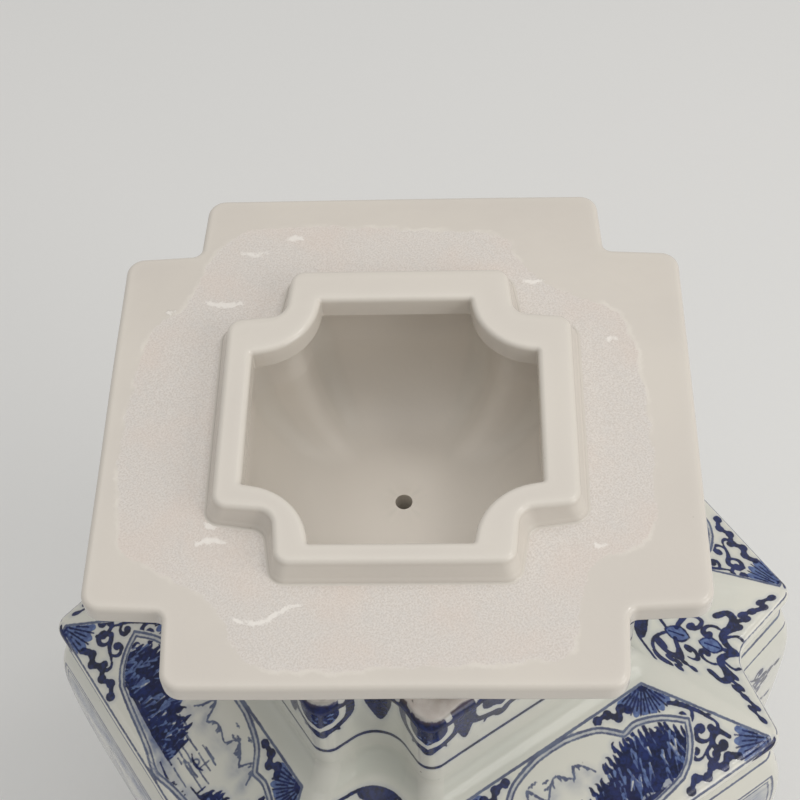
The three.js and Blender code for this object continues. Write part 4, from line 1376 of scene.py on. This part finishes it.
def paint_face(seed, hand):
    """One side of the body: a mountain and river view in a plain frame, over a row of petals, with a band
    under the lip that is partly painted shade.
    """
    rng = np.random.default_rng(seed)
    canvas = Canvas(*FACE_CANVAS)
    view = canvas.blank()
    at, span = spread(-FACE_VIEW, FACE_VIEW, hand)

    hills(view, rng, *span(0.05, 0.62), 116, 36, 4, 0.6)
    hills(view, rng, *span(0.45, 0.98), 122, 20, 4, 0.4)
    hills(view, rng, *span(0.0, 0.4), 103, 24, 3, 0.6)
    grove(view, rng, *span(0.02, 0.38), 100, 11)
    bank(view, rng, *span(0.0, 0.48), 99, 2.2)
    bank(view, rng, *span(0.55, 0.95), 112, 1.8)
    grove(view, rng, *span(0.62, 0.9), 113, 7)
    water(view, rng, *span(0.4, 0.98), 66, 108, 26)
    boat(view, at(0.68), 92, 6)
    boat(view, at(0.82), 80, 4.5)
    birds(view, rng, at(0.72), 146, 6, 1.8)
    bank(view, rng, *span(0.3, 0.74), 64, 2.4)
    pavilion(view, at(0.52), 65, 9)
    grove(view, rng, *span(0.56, 0.74), 65, 16)
    grove(view, rng, *span(0.3, 0.45), 65, 11)
    water(view, rng, *span(0.1, 0.9), 44, 62, 20)
    rock(view, rng, at(0.14), 34, 22, 26)
    rock(view, rng, at(0.26), 31, 18, 15)
    tree(view, rng, at(0.17), 40, 58, 0.5 * hand)
    tree(view, rng, at(0.27), 38, 38, -0.4 * hand)
    bank(view, rng, *span(0.0, 0.5), 32, 3.0)
    rock(view, rng, at(0.86), 33, 20, 13)
    grove(view, rng, *span(0.72, 1.0), 34, 15)
    bank(view, rng, *span(0.6, 1.0), 33, 2.6)
    inside = body_tab(canvas.y) - FACE_MARGIN - np.abs(canvas.x)
    inside = np.minimum(inside, np.minimum(canvas.y - FACE_LOW, FACE_HIGH - canvas.y))
    view.keep_within(inside - 1.9)
    canvas.lay_over(view)
    canvas.line_at("line", inside, 0.85)
    canvas.line_at("line", inside - 1.7, 0.7)
    across = np.abs(canvas.x) < body_tab(canvas.y) + 4
    for level, width in BODY_LINES:
        canvas.line_at("line", np.where(across, canvas.y - level, 9.0), width)
    lappets(canvas, 54, *BODY_PETALS, 9)
    for side in (-1, 1):
        canvas.wash([(48 * side, 152), (52 * side, 110), (48 * side, 60)], (5, 8, 5), 0.45, 7.0)
    # A band laid twice just under the lip: partly a sky wash, partly painted shade under the lip's overhang
    for wide in (12, 7):
        canvas.wash([(-48, 151), (0, 155), (48, 151)], (wide, 0.7 * wide, wide), 0.8, 6.0)
    return canvas


def paint_body_notch(seed):
    """One notch of the body: a vine that climbs in even waves on both sides of the diagonal,
    with pointed leaves on it, between the lines that run round the jar."""
    rng = np.random.default_rng(seed)
    canvas = Canvas(*BODY_NOTCH_CANVAS)
    for foot in VINE_FOOT + VINE_STEP * np.arange(VINE_WAVES):
        for side in (-1, 1):
            out = 0.0 if side > 0 else math.pi
            stem = [(0.8, foot), (7, foot + 4), (10.5, foot + 10), (6, foot + 16)]
            tendril(canvas, rng, mirrored(stem, side), 4.4, 2.1, 4)
            comma(canvas, (1.5 * side, foot + 17), out + 0.3 * side, 3.6, side, 1.9)
            branch = [(9.5, foot + 9), (14, foot + 7), (18.5, foot + 9.5)]
            tendril(canvas, rng, mirrored(branch, side), 2.8, 1.7, 3)
        leaf(canvas, (0, foot + 2), QUARTER, 11, 5.6, 0.8)
    for level, width in (*BODY_LINES, (FACE_LOW - 1, 0.8), (FACE_HIGH + 3, 0.8)):
        canvas.level("line", level, width)
    lappets(canvas, 28, *BODY_PETALS, 5)
    return canvas


# The lid's painting: level lines with their widths, on the brim from its edge in, and on the
# dome from the brim up. Scrolls reach less far in a notch than on a side.
BRIM_LINES = ((3.2, 1.0), (5.4, 0.8), (20.5, 0.9))
DOME_LINES = ((9.5, 1.0), (12.0, 0.9), (36.0, 1.0), (52.0, 1.0))
TOP_PETALS = (66, -12)


def paint_brim(in_notch, seed):
    """The brim's lower side from its edge in to the dome: lines and running scrolls."""
    rng = np.random.default_rng(seed)
    canvas = Canvas(*BRIM_CANVAS)
    reach, curls = (18, 4) if in_notch else (46, 8)
    for level, width in BRIM_LINES:
        canvas.level("line", level, width)
    scroll = [(2, 12), (0.3 * reach, 15), (0.62 * reach, 10), (reach, 12.5)]
    for side in (-1, 1):
        tendril(canvas, rng, mirrored(scroll, side), 4.0, 2.0, curls)
    leaf(canvas, (0, 7.5), QUARTER, 9, 5.0, 0.8)
    return canvas


def paint_dome(in_notch, seed):
    """The dome's side, read from the brim, with scrolls between lines, and the ring of petals
    on its flat top round the finial."""
    rng = np.random.default_rng(seed)
    canvas = Canvas(*DOME_CANVAS)
    reach, curls = (13, 4) if in_notch else (27, 6)
    for level, width in DOME_LINES:
        canvas.level("line", level, width)
    scroll = [(2, 20), (0.4 * reach, 30), (0.8 * reach, 20), (reach, 27)]
    for side in (-1, 1):
        tendril(canvas, rng, mirrored(scroll, side), 5.2, 2.3, curls)
    leaf(canvas, (0, 15), QUARTER, 15, 8.0, 0.9)
    wide, petals = (13, 2) if in_notch else (17, 3)
    lappets(canvas, wide, *TOP_PETALS, petals)
    return canvas


def paint_finial(length):
    """Petals round the bud's foot, a waist line and curved strokes that draw up to its tip."""
    reach = math.pi * FINIAL_RADIUS
    canvas = Canvas(reach + 1, -2, length + 2, 0.3, 1.0)
    lappets(canvas, reach, 0.5, 0.42 * length, 8)
    canvas.level("line", 0.5 * length, 1.1)
    for k in range(8):
        start = -reach + (k + 0.5) * reach / 4
        rising = [(start, 0.55 * length), (start + 2.4, 0.7 * length), (start + 2, 0.86 * length)]
        brush(canvas, "dark", rising, (2.4, 1.8, 0.8))
    canvas.level("dark", 0.98 * length, 2.4)
    return canvas


# The lid's upturned face, in the plane of the brim: where the glaze was wiped off, and the
# strokes of it that were left there with their widths
WIPED_EDGE = (
    (-64, -31), (-66, -11.5), (-65.4, 0), (-64.4, 14), (-62, 27), (-53, 36.6), (-49, 49), (-42, 58),
    (-29, 61), (0, 59.5), (25, 56.6), (30, 47.5), (40, 38), (54.5, 31.5), (58.4, 16), (59.5, -1.6),
    (59.4, -18.4), (57, -34), (45.6, -39.4), (40.7, -49.4), (39, -61.6), (27, -64.4), (5.7, -65.7),
    (-20, -66.5), (-31, -64.8), (-38, -56), (-42, -49), (-55, -41), (-62.6, -36),
)
LEFT_GLAZE = (
    (((-29, 56.3), (-27.5, 56.8), (-25.6, 56.4)), 2.2),
    (((-41, 52), (-37.4, 51.2), (-34, 52.2)), 1.7),
    (((-49, 35.7), (-44, 34.8), (-40, 35.4)), 2.0),
    (((-58.6, 33), (-57.7, 32.6), (-56.4, 33)), 1.6),
    (((31, 41.8), (33, 41), (36, 41.6)), 1.5),
    (((51, 22.4), (52, 23.2), (53.4, 22.6)), 1.6),
    (((45, -35.2), (45.9, -36), (47.4, -35.4)), 1.4),
    (((-43.6, -29.2), (-42.6, -30), (-41.2, -29.4)), 1.9),
    (((-45.6, -34.6), (-42, -33.6), (-38.8, -34.5)), 1.7),
    (((-35.7, -53.9), (-32, -54.8), (-28.4, -54.2), (-24.2, -51.4), (-20.9, -50.3)), 1.5),
)


def wiped_face():
    """The plan of the upturned face: distance inside the wiped field, and the drips left on it."""
    canvas = Canvas(*PLAN_CANVAS)
    canvas.layers["bare"] = canvas.distance(spline((*WIPED_EDGE, WIPED_EDGE[0]), 3)[:-1])
    canvas.layers["drip"] = np.full_like(canvas.layers["bare"], FAR_FROM_INK)
    for keys, width in LEFT_GLAZE:
        brush(canvas, "drip", keys, (0.6 * width, width, 0.5 * width))
    return canvas


def srgb(red, green, blue):
    """A colour given as it looks on screen, from 0 to 255, as the linear values Blender takes."""
    def linear(value):
        value = value / 255
        return value / 12.92 if value <= 0.04045 else ((value + 0.055) / 1.055) ** 2.4
    return (linear(red), linear(green), linear(blue), 1.0)


class Value:
    """One socket of a finish, with arithmetic that adds Math nodes."""

    def __init__(self, finish, socket):
        self.finish = finish
        self.socket = socket

    def math(self, operation, *others):
        inputs = dict(enumerate((self, *others)))
        return self.finish.node("ShaderNodeMath", {"operation": operation}, inputs)

    def __add__(self, other):
        return self.math("ADD", other)

    __radd__ = __add__

    def __sub__(self, other):
        return self.math("SUBTRACT", other)

    def __rsub__(self, other):
        return (self * -1) + other

    def __mul__(self, other):
        return self.math("MULTIPLY", other)

    __rmul__ = __mul__

    def most(self, other):
        return self.math("MAXIMUM", other)

    def least(self, other):
        return self.math("MINIMUM", other)

    def step(self, low_end, high_end):
        """0 at the low end, 1 at the high end and a smooth rise between."""
        inputs = {"Value": self, "From Min": low_end, "From Max": high_end}
        return self.finish.node("ShaderNodeMapRange", {"interpolation_type": "SMOOTHSTEP"}, inputs)


class Finish:
    """A material under construction."""

    def __init__(self, name):
        self.material = bpy.data.materials.new(name)
        self.material.use_nodes = True
        self.tree = self.material.node_tree
        self.tree.nodes.clear()
        self.place = self.node("ShaderNodeTexCoord", {}, {}, "Object")

    def node(self, kind, settings, inputs, output=0):
        """A node with its settings made first, then its sockets filled or linked."""
        made = self.tree.nodes.new(kind)
        for key, value in settings.items():
            setattr(made, key, value)
        for key, value in inputs.items():
            if isinstance(value, Value):
                self.tree.links.new(value.socket, made.inputs[key])
            else:
                made.inputs[key].default_value = value
        return Value(self, made.outputs[output]) if made.outputs else None

    def cloud(self, size, detail=2.0, roughness=0.5):
        """Noise whose patches are about as many millimetres across as the size says."""
        inputs = {"Vector": self.place, "Scale": 1 / (size * MM), "Detail": detail,
                  "Roughness": roughness}
        return self.node("ShaderNodeTexNoise", {}, inputs)

    def streaks(self, size, stretch):
        """Noise drawn out along each axis by the stretch's three factors."""
        where = self.node("ShaderNodeMapping", {}, {"Vector": self.place, "Scale": stretch})
        inputs = {"Vector": where, "Scale": 1 / (size * MM), "Detail": 2.0}
        return self.node("ShaderNodeTexNoise", {}, inputs)

    def specks(self, spacing, radius):
        """1 in small round specks scattered about as far apart as the spacing, and 0 elsewhere."""
        inputs = {"Vector": self.place, "Scale": 1 / (spacing * MM), "Randomness": 1.0}
        near = self.node("ShaderNodeTexVoronoi", {"feature": "F1"}, inputs, "Distance")
        return 1 - near.step(0.6 * radius / spacing, 1.4 * radius / spacing)

    def attribute(self, name):
        return self.node("ShaderNodeAttribute", {"attribute_name": name}, {}, "Fac")

    def mix(self, share, first, second):
        """The first colour where the share is 0 and the second where it is 1."""
        return self.node("ShaderNodeMix", {"data_type": "RGBA"}, {0: share, 6: first, 7: second}, 2)

    def mottled(self, size, detail, first, second):
        """Two colours in soft patches."""
        return self.mix(self.cloud(size, detail).step(0.3, 0.7), first, second)

    def gathered(self, pool, share, colour, second):
        """A colour that turns to the second by a share where the pool is over 0."""
        return self.mix((pool * share).most(0.0), colour, second)

    def close(self, colour, roughness, height, depth):
        """The glossy or matt surface itself; the height is a relief of the depth in millimetres."""
        relief = {"Height": height, "Distance": depth * MM, "Strength": 1.0}
        bump = self.node("ShaderNodeBump", {}, relief)
        inputs = {"Base Color": colour, "Roughness": roughness, "Normal": bump,
                  "Specular IOR Level": SHEEN}
        shader = self.node("ShaderNodeBsdfPrincipled", {}, inputs)
        self.node("ShaderNodeOutputMaterial", {}, {"Surface": shader})
        return self.material


def cobalt_under(f, ground):
    """The painting over a ground colour: washes, mid-blue fills, fine lines and dark strokes
    heaped in places, with soft bleeding into the glaze. Gives the colour and the ink's cover."""
    wobble = (f.cloud(0.9) - 0.5) * 0.34 + (f.cloud(3.5) - 0.5) * 0.2
    line = (f.attribute("line") + wobble).step(-0.16, 0.14)
    dark_depth = f.attribute("dark") + wobble
    dark = dark_depth.step(-0.15, 0.13)
    fill = (f.attribute("leaf") + wobble).step(-0.16, 0.16)
    brushed = f.streaks(1.6, (0.35, 0.35, 1.6)).step(0.25, 0.75)
    patchy = f.cloud(6.0, 3.0).step(0.3, 0.7)
    wash = (f.attribute("tone") * (0.55 + 0.5 * brushed) * (0.7 + 0.5 * patchy)).least(0.95)
    halo = dark_depth.step(-1.5, 0.1) * 0.22

    colour = f.mix(halo, ground, srgb(122, 136, 168))
    colour = f.mix(wash, colour, f.mix(patchy, srgb(118, 132, 160), srgb(80, 96, 138)))
    mid = f.mottled(1.3, 3.0, srgb(48, 70, 128), srgb(86, 112, 162))
    colour = f.mix(fill * 0.92, colour, mid)
    fine = f.mottled(4.0, 2.0, srgb(54, 64, 102), srgb(86, 99, 128))
    colour = f.mix(line * 0.9, colour, fine)
    heaped = (f.cloud(1.1, 3.0) * 0.6 + f.cloud(5.0) * 0.4).step(0.36, 0.62)
    deep = f.mix(heaped, srgb(24, 40, 98), srgb(4, 12, 46))
    deep = f.mix(f.cloud(14.0).step(0.45, 0.8) * 0.5, deep, srgb(32, 32, 78))
    colour = f.mix(dark * 0.96, colour, deep)
    return colour, dark.most(line * 0.6).most(fill * 0.5)


def painted_glaze():
    """Slightly grey-green glaze over white porcelain, thin and white on edges, pooled and
    greener in hollows, with the painting under it and a bare wiped rim."""
    f = Finish("painted_glaze")
    pool = f.attribute("pool")
    pits = f.specks(9.0, 0.22)
    ground = f.mottled(38.0, 3.0, srgb(219, 217, 206), srgb(213, 213, 203))
    ground = f.gathered(pool, 0.6, ground, srgb(188, 195, 183))
    ground = f.gathered(pool, -0.5, ground, srgb(226, 223, 214))
    ground = f.mix(f.specks(26.0, 0.35) * 0.6, ground, srgb(92, 78, 62))
    ground = f.mix(pits * 0.35, ground, srgb(150, 146, 132))
    colour, ink = cobalt_under(f, ground)
    rim = f.attribute("bare") + (f.cloud(5.0, 2.0) - 0.5) * 0.9
    wiped = rim.step(-0.2, 0.2)
    burnt = rim.step(-0.9, 0.0) * (1 - wiped)
    clay = f.mottled(2.2, 4.0, srgb(230, 221, 212), srgb(241, 234, 226))
    colour = f.mix(burnt * 0.2, colour, srgb(200, 172, 144))
    colour = f.mix(wiped, colour, clay)
    gloss = 0.1 + f.cloud(7.0, 3.0) * 0.07 + ink * 0.05 + wiped * 0.55
    relief = f.cloud(3.2, 2.0) * 0.5 + f.cloud(0.9, 2.0) * 0.12 + ink * -0.15 - pits * 0.5
    relief = relief + wiped * f.cloud(0.5, 3.0) * 0.6
    return f.close(colour, gloss, relief, 0.1)


def lid_porcelain():
    """Warmer white glaze, painted paler inside the dome as painted light over its shade and duller
    there, with the wiped bare field on the lid's underside, grainy and matt, drips of glaze left on
    it, a painted glint along the field's edge, and the painting outside."""
    f = Finish("lid_porcelain")
    pool = f.attribute("pool")
    hollow = f.attribute("hollow")
    ground = f.mottled(42.0, 3.0, srgb(213, 206, 196), srgb(208, 201, 192))
    # Inside the dome the glaze is painted paler, as painted light over the hollow's shade
    ground = f.mix(hollow * 0.35, ground, srgb(236, 230, 221))
    ground = f.gathered(pool, 0.5, ground, srgb(192, 190, 180))
    ground = f.gathered(pool, -0.4, ground, srgb(224, 218, 208))
    ground = f.mix(f.specks(21.0, 0.32) * 0.75, ground, srgb(70, 56, 44))
    ground = f.mix(f.specks(8.0, 0.2) * 0.3, ground, srgb(150, 140, 126))
    colour, ink = cobalt_under(f, ground)
    edge = f.attribute("bare") + (f.cloud(6.0, 4.0, 0.65) - 0.5) * 5.0
    wiped = edge.step(-0.35, 0.45)
    grain = f.cloud(0.45, 3.0, 0.65)
    drawn = f.streaks(0.9, (1.0, 0.22, 1.0))
    clay = f.mix(grain.step(0.34, 0.64), srgb(204, 196, 188), srgb(224, 218, 212))
    clay = f.mix(drawn.step(0.4, 0.7) * 0.25, clay, srgb(206, 203, 200))
    clay = f.mix(f.cloud(17.0, 3.0).step(0.42, 0.72) * 0.3, clay, srgb(222, 202, 188))
    clay = f.mix(f.specks(24.0, 0.42) * 0.8, clay, srgb(84, 72, 62))
    colour = f.mix(wiped * 0.85, colour, clay)
    # A painted glint: a paler band on the glaze just outside the wiped field, for light caught on its raised
    # edge
    painted_glint = edge.step(-1.2, -0.2) * (1 - edge.step(-0.2, 0.5))
    colour = f.mix(painted_glint * f.cloud(9.0).step(0.4, 0.7) * 0.35, colour, srgb(238, 232, 222))
    left = (f.attribute("drip") + (f.cloud(1.2, 4.0, 0.7) - 0.5) * 2.6).step(-0.2, 0.35)
    colour = f.mix(left * 0.75, colour, srgb(238, 233, 226))
    matt = wiped * (1 - left)
    gloss = 0.14 + f.cloud(7.0, 3.0) * 0.08 + ink * 0.05 + matt * 0.28 + hollow * 0.26
    relief = f.cloud(3.4, 2.0) * 0.45 + f.cloud(1.0, 2.0) * 0.12 + left * 0.9
    relief = relief + matt * (grain * 0.7 + drawn * 0.3) - wiped * 0.5
    return f.close(colour, gloss, relief, 0.1)


def bare_porcelain():
    """Unglazed foot: pale clay burnt to orange in places, with grit and a scraped grain."""
    f = Finish("bare_porcelain")
    grit = f.specks(6.0, 0.4)
    clay = f.mottled(2.0, 4.0, srgb(222, 211, 196), srgb(206, 190, 172))
    clay = f.mix(f.cloud(16.0, 3.0).step(0.45, 0.75) * 0.5, clay, srgb(196, 152, 116))
    clay = f.mix(grit * 0.7, clay, srgb(112, 92, 74))
    relief = f.cloud(0.6, 3.0) * 0.7 + f.streaks(0.7, (0.5, 0.5, 3.0)) * 0.5 - grit * 0.8
    return f.close(clay, 0.72 + f.cloud(3.0) * 0.15, relief, 0.12)


def pale_floor():
    """A plain pale paper ground, a little mottled."""
    f = Finish("pale_floor")
    colour = f.mix(f.cloud(300.0), srgb(232, 232, 230), srgb(235, 234, 232))
    return f.close(colour, 0.9, f.cloud(1.5, 3.0), 0.05)


def small_turn(angle):
    """The angle between minus and plus half a turn, or 0 for a corner where a piece ends."""
    turn = np.angle(np.exp(1j * angle))
    return np.where(np.abs(turn) < PIECE_END, turn, 0)


def bending(points, wrap):
    """How sharply a skin bends at each point, per millimetre, positive where it bulges: the turn
    of its profile of rows, and the turn of its outline as far as it stands upright."""
    out = plan_normals(points, wrap)
    step = np.roll(points, -1, axis=0) - points
    angle = np.arctan2(step[..., 2], (step * out).sum(axis=2))
    size = np.linalg.norm(step, axis=2)
    turn = small_turn(angle - np.roll(angle, 1, axis=0))
    along_profile = 2 * turn / np.maximum(size + np.roll(size, 1, axis=0), SHORTEST)
    aside = np.roll(points, -1, axis=1) - points
    heading = np.arctan2(aside[..., 1], aside[..., 0])
    width = np.hypot(aside[..., 0], aside[..., 1])
    turn = small_turn(heading - np.roll(heading, 1, axis=1))
    along_outline = 2 * turn / np.maximum(width + np.roll(width, 1, axis=1), SHORTEST)
    if not wrap:
        along_outline[:, [0, -1]] = 0
    return along_profile + along_outline * np.sin(angle)


def pooled(points, wrap, sense=1.0):
    """1 where glaze pools in a hollow and -1 where it runs thin over an edge, smoothed several
    times over the neighbouring rows and columns."""
    found = np.clip(-POOLING * sense * bending(points, wrap), -1, 1)
    for _ in range(SMOOTHINGS):
        found = (np.roll(found, 1, axis=0) + found + np.roll(found, -1, axis=0)) / 3
        painted_glint = np.pad(found, ((0, 0), (1, 1)), mode="wrap" if wrap else "edge")
        found = (painted_glint[:, :-2] + found + painted_glint[:, 2:]) / 3
    return found


def painted(shape, canvases, wrap, sense=1.0):
    """The attributes of a skin. The place of each column says which painting it reads."""
    count = shape.points.shape[:2]
    found = {name: np.full(count, FAR_FROM_INK) for name in (*INK_LAYERS, "bare", "drip")}
    found["tone"] = np.zeros(count)
    for place, canvas in canvases.items():
        columns = shape.place == place
        along = shape.along[:, columns]
        height = shape.v[:, columns]
        for name in (*INK_LAYERS, "tone"):
            found[name][:, columns] = canvas.sample(name, along, height)
    found["pool"] = pooled(shape.points, wrap, sense)
    return found


FINISHES = {"painted_glaze": painted_glaze(), "lid_porcelain": lid_porcelain(),
            "bare_porcelain": bare_porcelain()}


def place_painted(node, shape, wrap, art):
    """A piece of the jar under the painted glaze."""
    place_solid("painted", node, "jar", "painted_glaze", shape, wrap, painted(shape, art, wrap))


def build_band(part, profile, reach, slab_columns, corner_columns, side_art, notch_art):
    """A storey of the jar: four flat slabs and four notched corners that meet in unseen seams."""
    for k in range(4):
        slab = by_hand(slab_skin(profile, reach, slab_columns, k), False)
        place_painted(part + "_" + SIDES[k], slab, False, {0: side_art[k]})
        corner = by_hand(corner_skin(profile, reach, corner_columns, k), False)
        art = {0: side_art[k], 1: notch_art[k], 2: side_art[(k + 1) % 4]}
        place_painted(part + "_" + CORNERS[k], corner, False, art)


def build_body():
    """The walls and the shoulder. The sides' pictures differ and their hands alternate."""
    hands = (-1, 1, -1, 1)
    faces = [paint_face(FACE_SEED + k, hand) for k, hand in enumerate(hands)]
    notches = [paint_body_notch(BODY_NOTCH_SEED + k) for k in range(4)]
    reach = inset(body_section(BASE_HALF), WALL).tab - WALL + SEAM
    build_band("wall", wall_rows(), reach, WALL_SLAB_COLUMNS, WALL_CORNER_COLUMNS, faces, notches)
    panels = [paint_panel(PANEL_SEED + k, hand) for k, hand in enumerate(hands)]
    strips = [paint_strip()] * 4
    reach = MOUTH_HALF - NECK_INDENT - SEAM
    build_band("shoulder", shoulder_rows(), reach, SHOULDER_SLAB_COLUMNS, SHOULDER_CORNER_COLUMNS,
               panels, strips)


def ring_art(paint, seed):
    """A painting for each place of a ring: first its four sides, then its four notches."""
    return {k: paint(k >= 4, seed + k) for k in range(8)}


def build_neck():
    """The neck, whose rim and inner edge were wiped bare so that they didn't stick in the kiln."""
    neck = by_hand(ring_skin(neck_rows(), NECK_COLUMNS), True)
    paint = painted(neck, ring_art(paint_neck, NECK_SEED), True)
    wiped = np.minimum(RIM_WIPED[1] - neck.v, neck.v - RIM_WIPED[0])
    paint["bare"] = np.where(neck.v > HIDDEN, wiped, FAR_FROM_INK)
    place_solid("painted", "neck", "jar", "painted_glaze", neck, True, paint)


def build_base():
    """The foot ring, and the base slab whose faces close on a small square in the middle."""
    foot = ring_skin(foot_rows(), RING_COLUMNS)
    place_solid("bare", "foot_ring", "jar", "bare_porcelain", foot, True, {})
    base = ring_skin(base_rows(), RING_COLUMNS)
    count, columns = base.points.shape[:2]
    last = (count - 1) * columns
    quads = loop_faces(count, columns, True)[:last]
    hearts = [np.arange(columns)[::-1], last + np.arange(columns)]
    place_piece("glazed", "base_slab", "jar", "painted_glaze", base.points.reshape(-1, 3), quads,
                hearts, painted(base, {}, True))


def place_lid_ring(node, shape, paint):
    """A ring of the lid, moved from the lid's own frame to its seat on the jar."""
    shape = shape._replace(points=on_jar(shape.points))
    place_solid("glazed", node, "lid", "lid_porcelain", shape, True, paint)


def lid_by_hand(shape):
    """The lid's skin sagged by the kiln: the further out, the more the swell lowers it. In plan
    another swell draws the edges in."""
    points = shape.points
    far = np.hypot(points[..., 0], points[..., 1]) / BRIM_HALF
    swell = wave(points, LID_PHASE)
    scale = 1 - LID_WAVE / BRIM_HALF * wave(points[..., [1, 0, 2]], LID_PHASE + 2)
    moved = points * np.stack([scale, scale, np.ones_like(scale)], axis=-1)
    moved[..., 2] -= LID_WAVE * far ** 3 * swell
    return shape._replace(points=moved)


def build_lid():
    """The brim with its wiped upturned face, the collar that fits the mouth, and the dome."""
    brim = ring_skin(brim_rows(), LID_COLUMNS)
    back = brim._replace(v=-1 - brim.v)
    paint = painted(back, ring_art(paint_brim, BRIM_SEED), True, -1.0)
    face = wiped_face()
    for name in ("bare", "drip"):
        found = face.sample(name, brim.points[..., 0], brim.points[..., 1])
        paint[name] = np.where(brim.v > 0, found, FAR_FROM_INK)
    place_lid_ring("lid_brim", lid_by_hand(brim), paint)
    collar = ring_skin(collar_rows(), LID_COLUMNS)
    paint = painted(collar, {}, True)
    # The collar's glaze is painted paler: painted light standing for its lit faces
    paint["pool"] = paint["pool"] - COLLAR_PAINTED_LIGHT
    place_lid_ring("lid_collar", lid_by_hand(collar), paint)
    dome = dome_skin()
    paint = painted(dome, ring_art(paint_dome, DOME_SEED), True)
    # Marks the dome's inside, which the finish paints paler as painted light and makes duller
    paint["hollow"] = np.where(dome.v > 0, 0.0, 1.0)
    place_lid_ring("lid_dome", dome, paint)


def stem_profile():
    """The finial's stem: a small bevel and an upright foot, then a hollow curve in to the waist."""
    share = np.linspace(0, 1, STEM_ROWS)
    drawn = FINIAL_WAIST + (FINIAL_STEM_RADIUS - FINIAL_WAIST) * (1 - share) ** STEM_CURVE
    depth = DOME_DEPTH + FINIAL_STEM * (STEM_FOOT + (1 - STEM_FOOT) * share)
    foot = [(VENT_RADIUS, DOME_DEPTH), (FINIAL_STEM_RADIUS - STEM_EDGE, DOME_DEPTH),
            (FINIAL_STEM_RADIUS, DOME_DEPTH + STEM_EDGE)]
    end = [(VENT_RADIUS, DOME_DEPTH + FINIAL_STEM)]
    return np.concatenate([foot, np.stack([drawn, depth], axis=1), end])


def bud_outside(share):
    """Radius of the bud: the stem's width fading out, and a skewed, filled-out sine arch."""
    swell = np.sin(math.pi * share ** BUD_LOW) ** BUD_FULLNESS
    taper = FINIAL_WAIST * (1 - share)
    return taper + (FINIAL_RADIUS - taper) * swell


def bud_profile():
    """The bud's outside from the stem to its tip, and its hollow back to the stem."""
    share = np.sin(np.linspace(0, QUARTER, BUD_ROWS + 1)) ** BUD_CROWDING
    start = DOME_DEPTH + FINIAL_STEM
    radius = np.maximum(bud_outside(share), 0.0)
    radius[-1] = SHORTEST
    outside = np.stack([radius, start + FINIAL_BUD * share], axis=1)
    hollow = [(SHORTEST, start + FINIAL_BUD - 2 * FINIAL_WALL),
              (FINIAL_HOLLOW * 0.7, start + FINIAL_BUD * 0.57),
              (FINIAL_HOLLOW, start + FINIAL_BUD / 2), (FINIAL_HOLLOW, start + FINIAL_WALL),
              (VENT_RADIUS, start + FINIAL_WALL / 2), (VENT_RADIUS, start)]
    return np.concatenate([outside, hollow]), len(outside)


def build_finial():
    """The stem and the bud. The bud's painted height is its run along the outside."""
    stem = turned_skin(stem_profile(), TURNED_COLUMNS, 0)
    place_lid_ring("finial_stem", stem, painted(stem, {}, True))
    profile, outside = bud_profile()
    bud = turned_skin(profile, TURNED_COLUMNS, outside)
    place_lid_ring("finial_bud", bud, painted(bud, {0: paint_finial(bud.v.max())}, True))


build_body()
build_neck()
build_base()
build_lid()
build_finial()


def make_floor():
    """A wide pale floor."""
    mesh = bpy.data.meshes.new("pale_floor")
    corners = [(FLOOR_REACH * x, FLOOR_REACH * y, 0) for x, y in ((-1, -1), (1, -1), (1, 1), (-1, 1))]
    mesh.from_pydata(corners, [], [(0, 1, 2, 3)])
    mesh.materials.append(pale_floor())
    floor = bpy.data.objects.new("pale_floor", mesh)
    bpy.context.scene.collection.objects.link(floor)


def make_camera():
    """The camera looks from its point to its aim, turned about that line by the roll."""
    lid = Vector(LID_AT)
    place = (lid + Vector(CAMERA_FROM_LID)) * MM
    aim = (lid + Vector(AIM_FROM_LID)) * MM
    forward = (aim - place).normalized()
    level = forward.cross(Vector((0, 0, 1))).normalized()
    upright = level.cross(forward)
    right = level * math.cos(CAMERA_ROLL) + upright * math.sin(CAMERA_ROLL)
    up = right.cross(forward)
    lens = bpy.data.cameras.new("view")
    lens.sensor_width = SENSOR
    lens.lens = FOCAL_PIXELS / IMAGE_PIXELS * SENSOR
    lens.clip_start = CLIP_NEAR
    lens.clip_end = CLIP_FAR
    camera = bpy.data.objects.new("view", lens)
    turn = Matrix((right, up, -forward)).transposed()
    camera.matrix_world = Matrix.Translation(place) @ turn.to_4x4()
    bpy.context.scene.collection.objects.link(camera)
    bpy.context.scene.camera = camera


def hang(lamp):
    """A round soft lamp that faces its aim."""
    light = bpy.data.lights.new(lamp.name, "AREA")
    light.shape = "DISK"
    light.size = lamp.size
    light.energy = lamp.power
    light.color = lamp.colour
    made = bpy.data.objects.new(lamp.name, light)
    direction = Vector(lamp.place) - Vector(lamp.aim)
    turn = direction.to_track_quat("Z", "Y").to_matrix().to_4x4()
    made.matrix_world = Matrix.Translation(Vector(lamp.place)) @ turn
    bpy.context.scene.collection.objects.link(made)


def make_light():
    """Broad soft lamps overhead and in front, a small one for highlights, and an even surround."""
    for lamp in LAMPS:
        hang(lamp)
    world = bpy.data.worlds.new("studio")
    world.use_nodes = True
    background = world.node_tree.nodes["Background"]
    background.inputs["Color"].default_value = (1, 1, 1, 1)
    background.inputs["Strength"].default_value = SURROUND
    bpy.context.scene.world = world
    bpy.context.scene.view_settings.view_transform = "Standard"


make_floor()
make_camera()
make_light()
